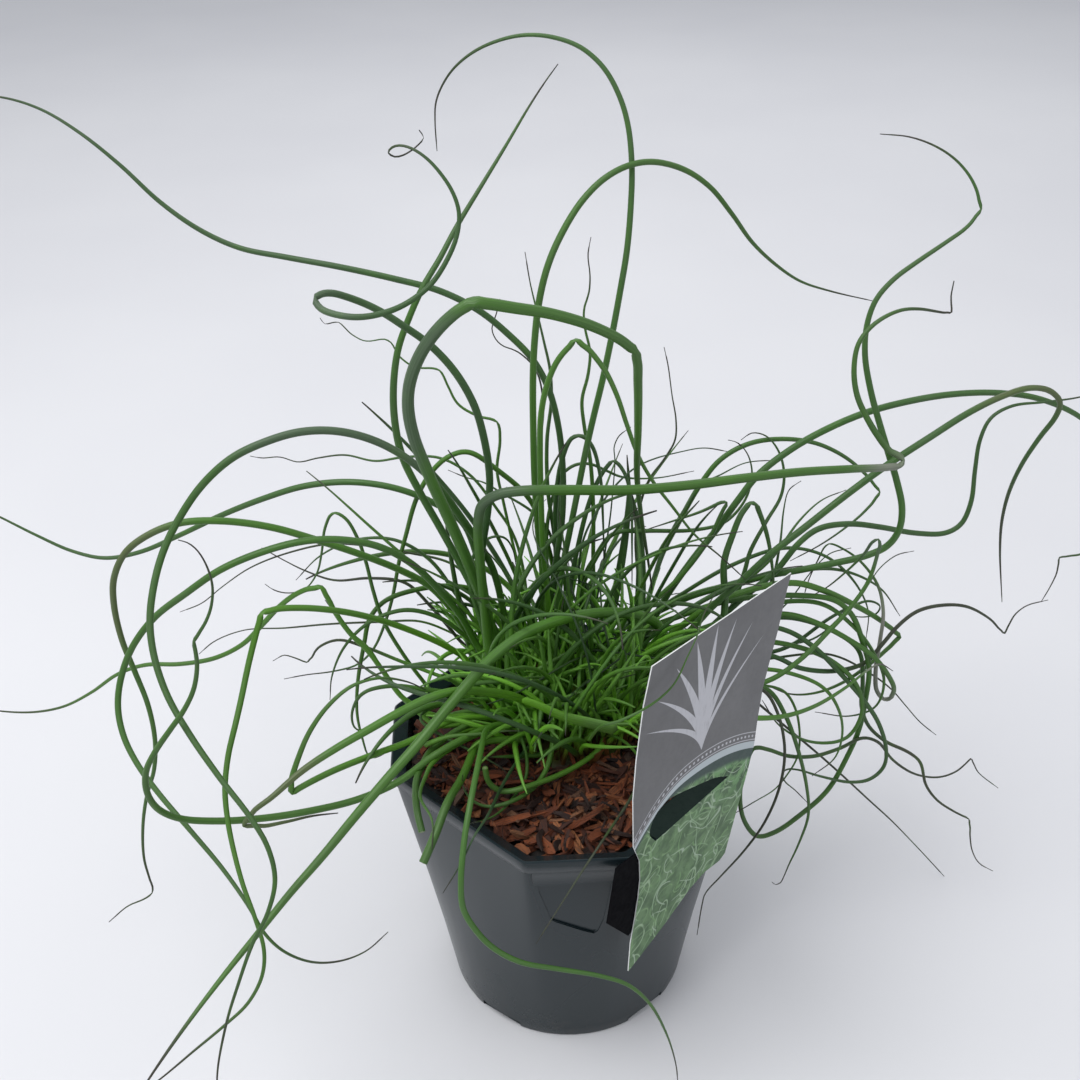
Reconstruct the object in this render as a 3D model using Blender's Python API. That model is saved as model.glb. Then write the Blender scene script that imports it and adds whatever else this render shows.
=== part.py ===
"""Potted spiral soft rush: a clump of smooth round stems, many curled or folded, in a square plastic pot.

The pot stands on z = 0 with its axis on the origin, and -Y is the front.
"""
import math

import bpy
import bmesh
import numpy as np
from mathutils import Matrix, Vector

MM = 0.001

# Pot: a 17 cm square pot with cut corners, round at the foot
POT_FLATS = 0.170
POT_CUT_CORNER = 0.0534
POT_HEIGHT = 0.1675
POT_FOOT_RADIUS = 0.0686
POT_WALL = 0.0014
POT_FLOOR = 0.0024
CUT_PARTS = 3
FLAT_PARTS = 5
RIM_BAND = 0.0095
RIM_STEP = 0.0011
RIM_LEDGE = 0.0075
RIM_LEDGE_DROP = 0.0035
RIM_LEDGE_LEAN = 0.0004
RIM_ROOT = 0.1475
RIM_SHOULDER = 0.0008
FOOT_NOTCH = (0.0035, 0.026, 0.005)
FOOT_NOTCH_ANGLES = (-128, -52, 38, 142)
DRAIN_RADIUS = 0.006
DRAIN_RING = 0.040
DRAIN_COUNT = 6
CUTTER_REACH = 0.004
DRAIN_SIDES = 12
POT_SLATE = (0.040, 0.048, 0.052)

# Label panel on the pot's front corner face, in millimetres across it and up from the foot: a raised lip
# under the rim band, and below it a shallow pocket with a slanting foot.
LIP_OUTLINE = ((-22.6, 160), (-22.2, 147.5), (18.2, 147.5), (18.5, 160))
LIP_INSET = 0.0003
POCKET_OUTLINE = ((-20.2, 150), (-17, 132), (-13.5, 117), (8.5, 102.5), (13.2, 114.5), (16.7, 150))
POCKET_DEPTH = 0.0006

# What fills the pot
GAP = 0.0004
SOIL_GAP = 0.0008
SOIL_TOP = 0.1500
MULCH_TOP = 0.1585
MULCH_LUMP = 0.0022
MULCH_MOUND = 0.0030
LUMP_RATE_ACROSS = 310
LUMP_RATE_DEEP = 270
LUMP_RATE_SLANT = 480
HEAP_CENTRE = (-0.055, -0.030)
HEAP_SPREAD = 0.035
MULCH_RINGS = 5
CROWN_CENTRE = (0.0, 0.028)
CROWN_RADIUS = 0.050
CROWN_TOP = 0.1600
CROWN_EDGE = 0.002
CROWN_SIDES = 32
CROWN_SLOT_RADIUS = 0.046
SOIL_BROWN = (0.035, 0.022, 0.014)
BARK_RED = (0.16, 0.060, 0.028)
RUSH_GREEN = (0.075, 0.19, 0.045)

# Label card: hung on the front right side, in millimetres along that side from its front corner and
# up from the rim. The outline takes in the dark leaf that stands out behind the card's lower left. A tongue
# cut out of the card folds in over the rim.
CARD_THICKNESS = 0.0006
CARD_OFF_RIM = 0.0010
CARD_OUTLINE = ((6, 115), (115, 107), (110, 86), (100, 47), (96, 9), (92, -7), (77, -57), (46, -58),
                (26, -68), (-4, -77), (-1, -51), (-4, -52), (-21, -27), (-15, 6), (-4, 10), (-4, 45))
CARD_WINDOW = ((14, 2), (9, 11), (13, 20), (22, 23), (31, 21), (41, 17.5), (52, 13.5), (62, 9.5), (74, 2))
CARD_REACH = (-0.023, 0.117, -0.079, 0.117)
CARD_ROOM = 0.0012
TONGUE_SPAN = (16, 72)
TONGUE_SILL = 0.8
TONGUE_REACH = 0.0105
TONGUE_DROP = 0.0045
CARD_GREY = (0.20, 0.20, 0.20)

# The viewpoint that the stems' routes are read from. A route point is (column, row) in a view of
# 1080 by 1080 pixels, with, at some points, how far behind the pot's axis the stem is there in mm.
VIEW_MIDDLE = 540.0
VIEW_FOCAL = 1350.0
VIEW_PITCH = math.radians(33.6)
VIEW_YAW = math.radians(2.1)
VIEW_ROLL = math.radians(-1.03)
VIEW_EYE = Vector((-0.0324, -0.5452, 0.6530))

# Stems: girth in mm, whether the end is cut blunt, and the route from the crown to the tip
STEMS = {
    "stem_far_left_high": (3.5, False, (
        (550, 600, 62), (556, 560), (562, 520), (563, 475), (559, 430), (549, 390), (533, 360), (508, 334),
        (478, 310), (440, 291), (395, 279), (340, 267, 110), (285, 257), (240, 248), (200, 230), (160, 202),
        (120, 165), (80, 133), (40, 109), (0, 97, 165), (-40, 96), (-72, 110, 172))),
    "stem_curl_tip": (3.8, False, (
        (481, 608, 40), (479, 575), (482, 545), (487, 512), (489, 478), (484, 440), (474, 405), (455, 372),
        (430, 345), (405, 327), (378, 310), (350, 298), (328, 293, 12), (315, 298, 0), (320, 308, -8),
        (338, 315), (362, 317, -14), (390, 311), (412, 300), (432, 283), (448, 258), (457, 235),
        (459, 213, 6), (453, 193), (441, 174), (425, 157), (408, 147), (395, 146, 22), (388, 152, 26),
        (396, 157, 31), (409, 152), (419, 144), (424, 136), (419, 130, 36))),
    "stem_spear": (3.9, False, (
        (490, 628, 34), (475, 598), (459, 565), (440, 528), (420, 490), (404, 455), (396, 420), (394, 385),
        (398, 350), (409, 318), (423, 287, 58), (440, 258), (457, 226), (480, 188), (505, 147), (530, 105),
        (545, 82), (558, 64, 112))),
    "stem_thick_arch": (5.8, False, (
        (490, 600, 26), (470, 555), (450, 515), (430, 476), (414, 438), (408, 405), (411, 378), (424, 348),
        (447, 320), (470, 304, -14), (480, 303), (515, 308), (552, 314), (592, 326), (625, 343), (636, 356),
        (638, 385, 6), (638, 430), (637, 475), (641, 515), (648, 560), (652, 590, 48))),
    "stem_top_loop": (3.4, False, (
        (557, 610, 52), (562, 570), (570, 530), (577, 495), (586, 450), (594, 415), (603, 378), (612, 335),
        (620, 292), (627, 250, 84), (631, 205), (632, 165), (628, 125), (619, 95), (603, 67), (580, 47),
        (552, 37, 122), (525, 35), (500, 40), (475, 51), (455, 67), (443, 84), (436, 102), (435, 120),
        (437, 151, 150))),
    "stem_right_arch": (3.6, False, (
        (540, 612, 60), (540, 570), (536, 530), (533, 480), (532, 430), (532, 380), (534, 340), (539, 300),
        (548, 265, 74), (562, 233), (582, 201), (605, 178), (630, 165), (655, 162), (685, 170), (710, 187),
        (732, 214, 112), (752, 242), (775, 264), (800, 281), (830, 291), (873, 301, 160))),
    "stem_upright_left": (2.4, False, (
        (553, 600, 78), (552, 540), (546, 490), (546, 440), (551, 400), (550, 370), (544, 342), (537, 312),
        (530, 282), (525, 252, 96))),
    "stem_upright_wavy": (2.4, False, (
        (594, 610, 72), (593, 560), (593, 510), (590, 460), (584, 425), (582, 400), (588, 375), (590, 352),
        (585, 328), (584, 310), (589, 292), (590, 275), (588, 255), (591, 237, 108))),
    "stem_bent_over": (3.2, False, (
        (548, 600, 44), (543, 550), (541, 500), (540, 450), (541, 415), (547, 385), (558, 360), (572, 345),
        (580, 343, 40), (602, 366), (616, 393), (627, 425), (638, 455), (652, 480), (672, 506), (695, 535),
        (720, 556), (746, 580, 12))),
    "stem_right_tall": (3.8, False, (
        (662, 610, 70), (690, 597), (730, 585), (765, 576), (800, 570), (835, 563), (865, 556), (887, 546),
        (899, 530, 62), (902, 508), (897, 482), (889, 455), (880, 425), (871, 392), (865, 355), (867, 325),
        (876, 300), (893, 280), (917, 262), (945, 243), (967, 227, 92), (977, 214), (979, 200), (972, 180),
        (957, 161), (937, 147), (910, 137), (880, 134, 122))),
    "stem_level": (5.0, False, (
        (484, 605, 22), (480, 560), (478, 525), (482, 505), (497, 495), (520, 491, 0), (570, 490), (630, 490),
        (690, 485), (745, 478), (800, 472), (850, 469, 22), (890, 467), (903, 464, 27), (901, 457, 33),
        (891, 452), (880, 439), (867, 418), (857, 395), (854, 370), (858, 345), (868, 330), (883, 318),
        (902, 310), (920, 309, 62), (940, 312), (953, 313), (951, 298), (954, 281, 84))),
    "stem_right_return": (3.8, False, (
        (658, 650, 45), (685, 632), (712, 604), (740, 580), (770, 553, 44), (805, 526), (845, 495),
        (885, 466), (930, 437), (970, 412), (1003, 396), (1030, 388, 82), (1050, 391), (1060, 402),
        (1056, 416), (1040, 437), (1022, 464), (1009, 492), (1002, 520), (1000, 550), (1002, 602, 112))),
    "stem_right_long": (3.8, False, (
        (650, 630, 62), (668, 595), (692, 560), (716, 530), (738, 500), (758, 475), (790, 450), (825, 430),
        (865, 413), (910, 401, 92), (955, 394), (1000, 393), (1040, 399), (1080, 417, 112), (1106, 443),
        (1116, 480), (1110, 518), (1096, 545), (1078, 555, 122), (1060, 557), (1057, 572), (1050, 587),
        (1041, 602, 126))),
    "stem_right_hoop": (3.0, False, (
        (648, 600, 80), (662, 555), (680, 520), (700, 485), (720, 460), (748, 444), (780, 439),
        (815, 443, 100), (845, 457), (868, 477), (878, 493), (866, 510), (845, 528), (820, 545),
        (790, 561, 72))),
    "stem_right_step": (3.4, False, (
        (690, 645, 52), (740, 600), (775, 572), (800, 543), (820, 529), (850, 524), (880, 527), (915, 533),
        (945, 533), (961, 524), (971, 502), (975, 470), (980, 440), (991, 418), (1012, 406, 96),
        (1045, 402), (1080, 397), (1115, 386, 116))),
    "stem_right_hook": (2.8, False, (
        (662, 662, 40), (720, 650), (775, 657, 35), (800, 668), (835, 671), (865, 663), (882, 645),
        (898, 626), (918, 611), (945, 605, 74), (968, 607), (990, 619), (1005, 633), (1013, 617),
        (1026, 606), (1048, 600, 92))),
    "stem_right_fold": (3.6, False, (
        (667, 640, 56), (720, 600), (790, 582, 52), (825, 590), (858, 606), (885, 623), (899, 637, 76),
        (886, 651), (866, 667), (842, 683), (815, 693), (790, 694), (768, 686, 44))),
    "stem_right_coil": (3.2, False, (
        (664, 622, 60), (730, 600), (800, 595), (835, 600), (852, 615), (862, 640), (869, 668, 52),
        (866, 700), (860, 730), (848, 757), (828, 790), (800, 815), (775, 832), (757, 836, 14), (744, 820),
        (740, 795), (745, 770), (755, 749), (768, 750, 24), (790, 757), (815, 757), (840, 748), (862, 737),
        (878, 742), (893, 760), (915, 774, 50), (940, 777), (960, 769), (970, 758), (978, 772),
        (998, 788, 62))),
    "stem_right_wander": (2.8, False, (
        (664, 644, 64), (730, 628), (790, 618, 66), (835, 632), (858, 650), (862, 680, 60), (861, 705),
        (868, 725), (885, 741), (908, 752), (920, 762), (926, 785), (937, 800), (955, 812), (969, 819),
        (970, 835), (972, 850), (979, 863), (993, 871, 16))),
    "stem_right_pocket": (3.0, False, (
        (665, 655, 46), (730, 625, 50), (785, 630), (815, 648), (840, 673), (862, 698), (878, 722),
        (886, 748), (884, 766, 36), (870, 779), (850, 782), (820, 776), (795, 769), (783, 770), (783, 779),
        (795, 790), (808, 803, 18))),
    "stem_right_ring": (3.2, False, (
        (662, 648, 58), (720, 622), (785, 614), (815, 622), (845, 637), (872, 655), (888, 675, 48),
        (894, 690), (887, 700), (877, 692), (875, 670), (879, 640), (882, 612), (877, 585), (862, 563),
        (845, 550), (828, 544, 88), (818, 560), (808, 582), (803, 600, 72))),
    "stem_right_spur": (3.0, False, (
        (660, 668, 30), (715, 690, 20), (765, 683, 22), (800, 660), (828, 632), (850, 608), (868, 582),
        (877, 556), (880, 540), (874, 541), (864, 555), (848, 572), (828, 589), (808, 600, 62))),
    "stem_right_sag": (3.0, False, (
        (655, 690, 12), (700, 712, -6), (755, 718, -6), (785, 716), (815, 706), (845, 688), (868, 670, 40),
        (880, 664), (893, 671, 46))),
    "stem_right_dark": (1.9, False, (
        (668, 676, 18), (720, 676), (763, 690, 22), (777, 712), (784, 740), (784, 765), (777, 795),
        (763, 825), (743, 852, -2), (720, 877), (705, 894, -36), (702, 905), (697, 935, -44))),
    "stem_right_drop": (2.8, False, (
        (668, 668, 30), (720, 675), (768, 690, 34), (785, 715), (797, 748), (806, 785), (808, 815),
        (800, 840), (790, 862), (778, 885), (772, 882, 8))),
    "stem_left_drop": (3.9, False, (
        (484, 560, 40), (470, 533), (452, 505), (430, 478), (402, 455), (370, 439), (335, 431), (300, 432),
        (265, 442), (232, 458), (203, 484), (180, 517, 8), (163, 552), (153, 590), (150, 625), (155, 660),
        (168, 697), (190, 735), (220, 778), (250, 817), (268, 848, -112), (275, 880), (268, 912),
        (252, 945), (238, 985), (226, 1025), (217, 1080, -166), (222, 1120, -172))),
    "stem_left_wave": (3.5, False, (
        (480, 560, 56), (462, 522), (432, 502), (395, 488), (350, 482), (305, 486), (265, 498), (222, 515),
        (180, 535), (140, 552), (105, 558), (72, 551), (38, 536), (0, 517, 92), (-35, 500),
        (-62, 493, 100))),
    "stem_left_hang": (3.7, False, (
        (466, 632, 46), (448, 605), (428, 585), (400, 570), (365, 556), (320, 541), (270, 527), (222, 521),
        (180, 523), (148, 535), (125, 553), (114, 578), (114, 605), (122, 640, 12), (135, 672), (148, 705),
        (155, 740), (154, 770), (147, 795), (143, 825), (144, 858), (150, 880), (153, 891), (146, 898),
        (128, 906), (109, 922, -40))),
    "stem_left_sweep": (3.7, False, (
        (472, 642, 34), (458, 615), (438, 589), (412, 564), (380, 547), (345, 540), (305, 541), (262, 552),
        (220, 570), (185, 594), (155, 617), (133, 646), (121, 678, 0), (118, 708), (124, 737), (138, 765),
        (160, 795), (190, 830), (222, 868), (248, 905), (265, 934, -104), (285, 952), (312, 962),
        (340, 961), (366, 951), (388, 932, -92))),
    "stem_left_corner": (3.3, False, (
        (462, 655, 28), (440, 643), (412, 631), (380, 620), (345, 612), (305, 608), (272, 610), (261, 616),
        (257, 630), (249, 662, -22), (241, 700), (236, 722), (228, 757), (225, 790), (228, 822), (234, 852),
        (243, 885), (255, 918), (264, 950, -124), (262, 976), (248, 1003), (225, 1025), (195, 1050),
        (155, 1083, -172), (120, 1106, -178))),
    "stem_front_thick": (5.6, False, (
        (672, 645, 48), (655, 624), (630, 614), (600, 613), (568, 619), (535, 632), (505, 650),
        (478, 672, -28), (450, 703), (420, 740), (392, 772), (358, 812), (322, 856), (290, 893),
        (258, 933, -126), (228, 970), (195, 1013), (165, 1055), (135, 1100, -192))),
    "stem_front_folded": (4.4, False, (
        (540, 712, -2), (518, 698), (488, 692), (455, 692, -34), (428, 699), (400, 712), (368, 730),
        (335, 749), (302, 771), (272, 797), (252, 813), (249, 822, -88), (260, 826), (285, 822),
        (312, 816), (338, 813, -72))),
    "stem_left_tent": (3.4, False, (
        (440, 725, -14), (410, 741), (375, 754), (335, 770), (305, 785), (292, 793, -62), (291, 783),
        (299, 756), (310, 731), (328, 706), (352, 686), (380, 678), (408, 682), (426, 690, -24))),
    "stem_left_low": (3.7, False, (
        (430, 760, -34), (400, 782), (360, 799), (315, 810), (265, 818), (215, 821), (178, 818),
        (157, 808), (147, 792, -72), (146, 772), (155, 752), (170, 730), (184, 710), (194, 688), (197, 662),
        (193, 641), (203, 627), (211, 607), (212, 583), (202, 557), (190, 544), (178, 540, -58))),
    "stem_left_far": (2.9, False, (
        (425, 712, 0), (402, 697), (385, 674), (368, 651), (350, 633), (335, 612), (324, 592), (314, 588),
        (298, 593), (280, 606), (262, 625), (243, 644), (215, 658), (180, 664), (145, 665), (118, 674),
        (92, 692), (65, 706), (35, 712), (0, 711, 62), (-30, 705), (-55, 692, 62))),
    "stem_left_loop": (2.2, False, (
        (430, 690, 30), (405, 657), (383, 620), (373, 590), (366, 562), (357, 537), (345, 518), (333, 513),
        (325, 528), (322, 550), (317, 573), (305, 589), (288, 593), (274, 590), (265, 584, 62))),
    "stem_left_return": (2.9, False, (
        (560, 600, 86), (548, 545), (530, 500), (500, 472), (468, 452), (448, 457), (430, 474), (416, 500),
        (406, 535), (399, 562), (393, 595), (386, 620), (374, 648), (358, 664), (335, 671), (305, 675),
        (284, 679, 44))),
    "stem_left_hoop": (3.0, False, (
        (512, 620, 72), (480, 592), (450, 586), (415, 590), (385, 601), (370, 618), (364, 645), (358, 680),
        (357, 712), (362, 737), (370, 757), (380, 756), (391, 748, 8))),
    "stem_left_ripple": (1.8, False, (
        (505, 520, 92), (470, 475), (440, 458), (405, 457), (375, 461), (345, 455), (318, 458), (298, 462),
        (280, 457), (262, 458), (250, 456, 130))),
    "stem_left_stair": (1.8, False, (
        (512, 540, 82), (503, 500), (497, 470), (500, 440), (497, 422), (478, 416), (458, 404), (447, 384),
        (439, 370), (415, 367), (400, 357), (388, 340), (365, 341), (350, 333), (338, 322), (325, 324),
        (320, 318, 122))),
    "stem_over_front": (3.1, False, (
        (484, 735, -32), (478, 765, -58), (471, 800, -79), (465, 835, -92), (461, 880, -105), (463, 908),
        (474, 928), (492, 947), (520, 962, -118), (558, 969), (600, 976), (628, 985, -112), (650, 1004),
        (667, 1035), (676, 1065, -112), (678, 1085, -118))),
    "stem_front_needle": (1.6, False, (
        (642, 775, -52), (632, 796, -66), (603, 840, -92), (585, 867, -103), (560, 906, -116),
        (536, 944, -126))),
    "stem_front_hook_right": (3.0, True, (
        (600, 722, 2), (601, 745), (592, 768), (575, 788), (550, 800), (525, 803, -46), (503, 799),
        (489, 785), (485, 768, -48))),
    "stem_front_hook_left": (2.8, False, (
        (553, 722, -8), (552, 748), (545, 772), (530, 792), (508, 805, -54), (485, 808), (470, 800),
        (462, 787), (461, 775, -50))),
    "stem_cut_long": (4.2, True, (
        (474, 748, -20), (463, 776, -44), (448, 803, -70), (436, 833, -84), (423, 863, -94))),
    "stem_cut_short": (3.6, True, (
        (425, 757, -24), (416, 778, -42), (415, 795, -56), (417, 812, -66), (422, 832, -74))),
    "stem_front_strand": (2.0, False, (
        (500, 690, 10), (512, 715), (522, 742), (527, 768), (525, 790, -34), (512, 806), (492, 819),
        (468, 824, -80))),
    "stem_past_label": (1.5, False, (
        (590, 740, -40), (600, 727, -92), (620, 721, -102), (644, 710, -99), (660, 699), (675, 683, -84),
        (687, 658), (697, 636, -70), (704, 614, -60), (716, 592, -50))),
    "stem_left_thin_high": (1.4, False, (
        (480, 600, 62), (455, 566), (405, 552), (370, 546), (330, 544), (290, 553), (250, 568), (222, 587),
        (202, 603), (180, 612, 92))),
    "stem_left_thin_low": (1.4, False, (
        (460, 640, 62), (420, 622), (380, 622), (330, 624), (285, 628), (245, 630), (215, 641),
        (199, 654, 82))),
    "stem_left_crook": (2.2, False, (
        (450, 680, 20), (400, 661), (365, 647), (338, 640), (318, 648), (307, 664), (298, 660), (285, 655),
        (273, 661, 32))),
    "stem_right_thin_high": (1.6, False, (
        (640, 600, 88), (636, 530), (648, 482), (665, 458), (675, 440), (676, 420), (672, 395), (668, 365),
        (664, 347, 122))),
    "stem_right_thin_low": (1.5, False, (
        (670, 640, 52), (715, 665), (757, 702), (790, 730), (822, 757), (855, 787), (885, 816), (912, 848),
        (942, 886, 34))),
    "stem_right_thin_up": (1.6, False, (
        (662, 628, 66), (740, 640, 62), (810, 640), (845, 612), (866, 588), (880, 568), (897, 555),
        (914, 551, 102))),
    "stem_right_thin_down": (1.6, False, (
        (670, 655, 56), (750, 660), (830, 655), (872, 675), (892, 690), (906, 706), (920, 722),
        (936, 735, 62))),
}

# Thin stems that stay joined to the crown, in the same form
THIN_STEMS = {
    "dark_left": (2.0, False, (
        (455, 640, 56), (430, 608), (405, 583), (370, 578), (335, 580), (305, 570), (285, 560),
        (262, 547, 84))),
    "dark_high": (1.6, False, (
        (545, 560, 82), (541, 500), (541, 450), (544, 405), (536, 370), (518, 352), (500, 344), (492, 330),
        (496, 315), (500, 299, 104))),
    "strand_right": (1.8, False, (
        (668, 660, 38), (725, 680), (782, 690, 44), (794, 706), (799, 733), (797, 757), (788, 774),
        (775, 790), (755, 802), (732, 815, 8))),
    "front_arc": (2.6, False, (
        (470, 684, -8), (505, 681), (545, 686), (570, 696), (583, 709), (577, 719, 8))),
    "front_brown_tip": (2.2, False, (
        (425, 724, -12), (445, 736), (470, 748), (492, 762), (505, 778), (508, 790, -32))),
}

# Short green shoots of the tuft, joined to the crown
SHOOT_COUNT = 22
SHOOT_GIRTH = 2.4
SHOOT_LENGTH = (0.060, 0.150)
SHOOT_SPREAD = 0.75
SHOOT_SWING = 0.25
SHOOT_BOW = 0.25
SHOOT_STEPS = 12
SHOOT_CARD_ROOM = 0.006
SHOOT_SEED = 11

# How far a stem stands up from the crown before it leans, and how finely its route is followed
STEM_RISE = 0.005
ROOT_PULL = 0.9
ROOT_STEPS = 16
ROOT_AIM = 6
CURVE_STEPS = 8
DEPTH_MARKS = 200
DEPTH_EASING = 60
ROUTE_STEP = 0.004
ROUTE_SLACK = 0.0026
RING_CLOSE = 1.7

# How stems are kept off each other, off the pot and off the card
STEM_CLEARANCE = 0.0005
SETTLE_ROUNDS = 160
SETTLE_REACH = 0.007
SETTLE_PUSH = 0.62
OWN_NEIGHBOURS = 3
FIXED_RINGS = 2
POT_ROOM = 0.0018
RIM_SIDE_DROP = 0.006

# How thick a stem is along its length, in mm, and how many sides its tube has
THICK_STEM = 3.4
THICK_SIDES = 6
THIN_SIDES = 4
TAPER_START = 0.35
TIP_FALL = 0.88
TIP_RADIUS = 0.2


def clear_scene():
    for thing in list(bpy.data.objects):
        bpy.data.objects.remove(thing, do_unlink=True)


def material(name, colour, roughness, metallic=0.0):
    made = bpy.data.materials.new(name)
    made.use_nodes = True
    shader = made.node_tree.nodes["Principled BSDF"]
    shader.inputs["Base Color"].default_value = (*colour, 1.0)
    shader.inputs["Roughness"].default_value = roughness
    shader.inputs["Metallic"].default_value = metallic
    return made


def mesh_object(name, bm, finish):
    bmesh.ops.triangulate(bm, faces=bm.faces)
    bmesh.ops.recalc_face_normals(bm, faces=bm.faces)
    mesh = bpy.data.meshes.new(name)
    bm.to_mesh(mesh)
    bm.free()
    made = bpy.data.objects.new(name, mesh)
    bpy.context.collection.objects.link(made)
    mesh.materials.append(finish)
    return made


def boolean(target, tool, operation):
    tool.hide_render = True
    tool.display_type = "WIRE"
    change = target.modifiers.new(tool.name, "BOOLEAN")
    change.operation = operation
    change.object = tool
    change.solver = "EXACT"


def lathe_loop(bm, outline, height):
    return [bm.verts.new((x, y, height)) for x, y in outline]


def bridge_stack(bm, loops):
    for lower, upper in zip(loops, loops[1:]):
        for i in range(len(lower)):
            j = (i + 1) % len(lower)
            bm.faces.new((lower[i], lower[j], upper[j], upper[i]))


def corner_distance():
    """From the pot's axis to the face of a cut corner, at the rim."""
    return POT_FLATS * math.sqrt(0.5) - POT_CUT_CORNER / 2


def pot_angles():
    """The directions of the outline's points: on every corner of the rim, and evenly between them."""
    half_cut = math.atan2(POT_CUT_CORNER / 2, corner_distance())
    angles = []
    for quarter in range(4):
        base = quarter * math.pi / 2
        for start, end, parts in ((-half_cut, half_cut, CUT_PARTS),
                                  (half_cut, math.pi / 2 - half_cut, FLAT_PARTS)):
            angles += [base + start + (end - start) * part / parts for part in range(parts)]
    return angles


def rim_reach(angle, inset):
    """How far the rim is from the axis in this direction."""
    off_flat = math.cos((angle % (math.pi / 2)) - math.pi / 4)
    off_cut = math.cos(((angle + math.pi / 4) % (math.pi / 2)) - math.pi / 4)
    return min((POT_FLATS / 2 - inset) / off_flat, (corner_distance() - inset) / off_cut)


def pot_outline(inset, roundness):
    """One level of the pot: the cut-corner square of the rim, blended towards the round foot."""
    outline = []
    for angle in pot_angles():
        radius = rim_reach(angle, inset) * (1 - roundness) + (POT_FOOT_RADIUS - inset) * roundness
        outline.append((radius * math.cos(angle), radius * math.sin(angle)))
    return outline


def roundness_at(height):
    return 1 - max(0.0, height) / POT_HEIGHT


def make_pot():
    bm = bmesh.new()
    band_foot = POT_HEIGHT - RIM_BAND
    ledge = POT_HEIGHT - RIM_LEDGE_DROP
    wall = RIM_STEP + POT_WALL
    outside = [(0.0, RIM_STEP), (band_foot, RIM_STEP), (band_foot + RIM_SHOULDER, 0.0), (POT_HEIGHT, 0.0)]
    inside = [(ledge, RIM_LEDGE), (RIM_ROOT, RIM_LEDGE + RIM_LEDGE_LEAN), (RIM_ROOT - RIM_LEDGE, wall),
              (POT_FLOOR, wall)]
    loops = [lathe_loop(bm, pot_outline(inset, roundness_at(z)), z) for z, inset in outside + inside]
    bridge_stack(bm, loops)
    bm.faces.new(list(reversed(loops[0])))
    bm.faces.new(loops[-1])
    pot = mesh_object("pot", bm, material("pot_plastic", POT_SLATE, 0.42))
    cut_foot(pot)
    shape_label_panel(pot)
    return pot


def cut_foot(pot):
    """Four notches in the foot's edge and a ring of drainage holes in the floor."""
    bm = bmesh.new()
    depth, width, height = FOOT_NOTCH
    for degrees in FOOT_NOTCH_ANGLES:
        turn = Matrix.Rotation(math.radians(degrees), 3, "Z")
        made = bmesh.ops.create_cube(bm, size=1.0)["verts"]
        bmesh.ops.scale(bm, verts=made, vec=(depth + 2 * CUTTER_REACH, width, 2 * height))
        bmesh.ops.translate(bm, verts=made, vec=(POT_FOOT_RADIUS - depth / 2 + CUTTER_REACH, 0, 0))
        bmesh.ops.rotate(bm, verts=made, cent=(0, 0, 0), matrix=turn)
    for hole in range(DRAIN_COUNT):
        angle = 2 * math.pi * (hole + 0.5) / DRAIN_COUNT
        place = (DRAIN_RING * math.cos(angle), DRAIN_RING * math.sin(angle), 0)
        made = bmesh.ops.create_cone(bm, cap_ends=True, segments=DRAIN_SIDES, radius1=DRAIN_RADIUS,
                                     radius2=DRAIN_RADIUS, depth=2 * (POT_FLOOR + CUTTER_REACH))["verts"]
        bmesh.ops.translate(bm, verts=made, vec=place)
    boolean(pot, mesh_object("foot_cutter", bm, pot.data.materials[0]), "DIFFERENCE")


def wall_lean(height):
    """How far the front corner face stands in from the rim's face at this height."""
    return RIM_STEP + (corner_distance() - POT_FOOT_RADIUS) * roundness_at(height)


def front_prism(name, outline, near, far, finish):
    """A prism on the front corner face, from near to far inward of the wall's face."""
    bm = bmesh.new()
    loops = []
    for inward in (near, far):
        places = [(across * MM, inward - corner_distance(), up * MM) for across, up in outline]
        loops.append([bm.verts.new((x, y + wall_lean(z), z)) for x, y, z in places])
    bridge_stack(bm, loops)
    bm.faces.new(loops[0])
    bm.faces.new(list(reversed(loops[1])))
    return mesh_object(name, bm, finish)


def shape_label_panel(pot):
    """The pocket that the label's slot sits in, and the lip that stands out above it."""
    plastic = pot.data.materials[0]
    boolean(pot, front_prism("pocket", POCKET_OUTLINE, POCKET_DEPTH, -CUTTER_REACH, plastic), "DIFFERENCE")
    boolean(pot, front_prism("lip", LIP_OUTLINE, POT_WALL / 2, LIP_INSET - RIM_STEP, plastic), "UNION")


def make_soil():
    bm = bmesh.new()
    wide, narrow = RIM_STEP + POT_WALL + SOIL_GAP, RIM_LEDGE + RIM_LEDGE_LEAN + SOIL_GAP
    levels = [(POT_FLOOR + GAP, wide), (RIM_ROOT - RIM_LEDGE - SOIL_GAP, wide), (RIM_ROOT - SOIL_GAP, narrow),
              (SOIL_TOP - GAP, narrow)]
    loops = [lathe_loop(bm, pot_outline(inset, roundness_at(z)), z) for z, inset in levels]
    bridge_stack(bm, loops)
    bm.faces.new(list(reversed(loops[0])))
    bm.faces.new(loops[-1])
    return mesh_object("soil", bm, material("potting_soil", SOIL_BROWN, 0.95))


def mulch_height(x, y):
    """Bark chips lie in lumps, and are heaped a little towards the left front."""
    broad = math.sin(x * LUMP_RATE_ACROSS + 1.3) * math.cos(y * LUMP_RATE_DEEP - 0.4)
    small = math.sin((x + y) * LUMP_RATE_SLANT + 0.8)
    heap = math.exp(-((x - HEAP_CENTRE[0]) ** 2 + (y - HEAP_CENTRE[1]) ** 2) / HEAP_SPREAD ** 2)
    return MULCH_TOP + MULCH_LUMP * (0.6 * broad + 0.36 * small) + MULCH_MOUND * heap


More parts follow.
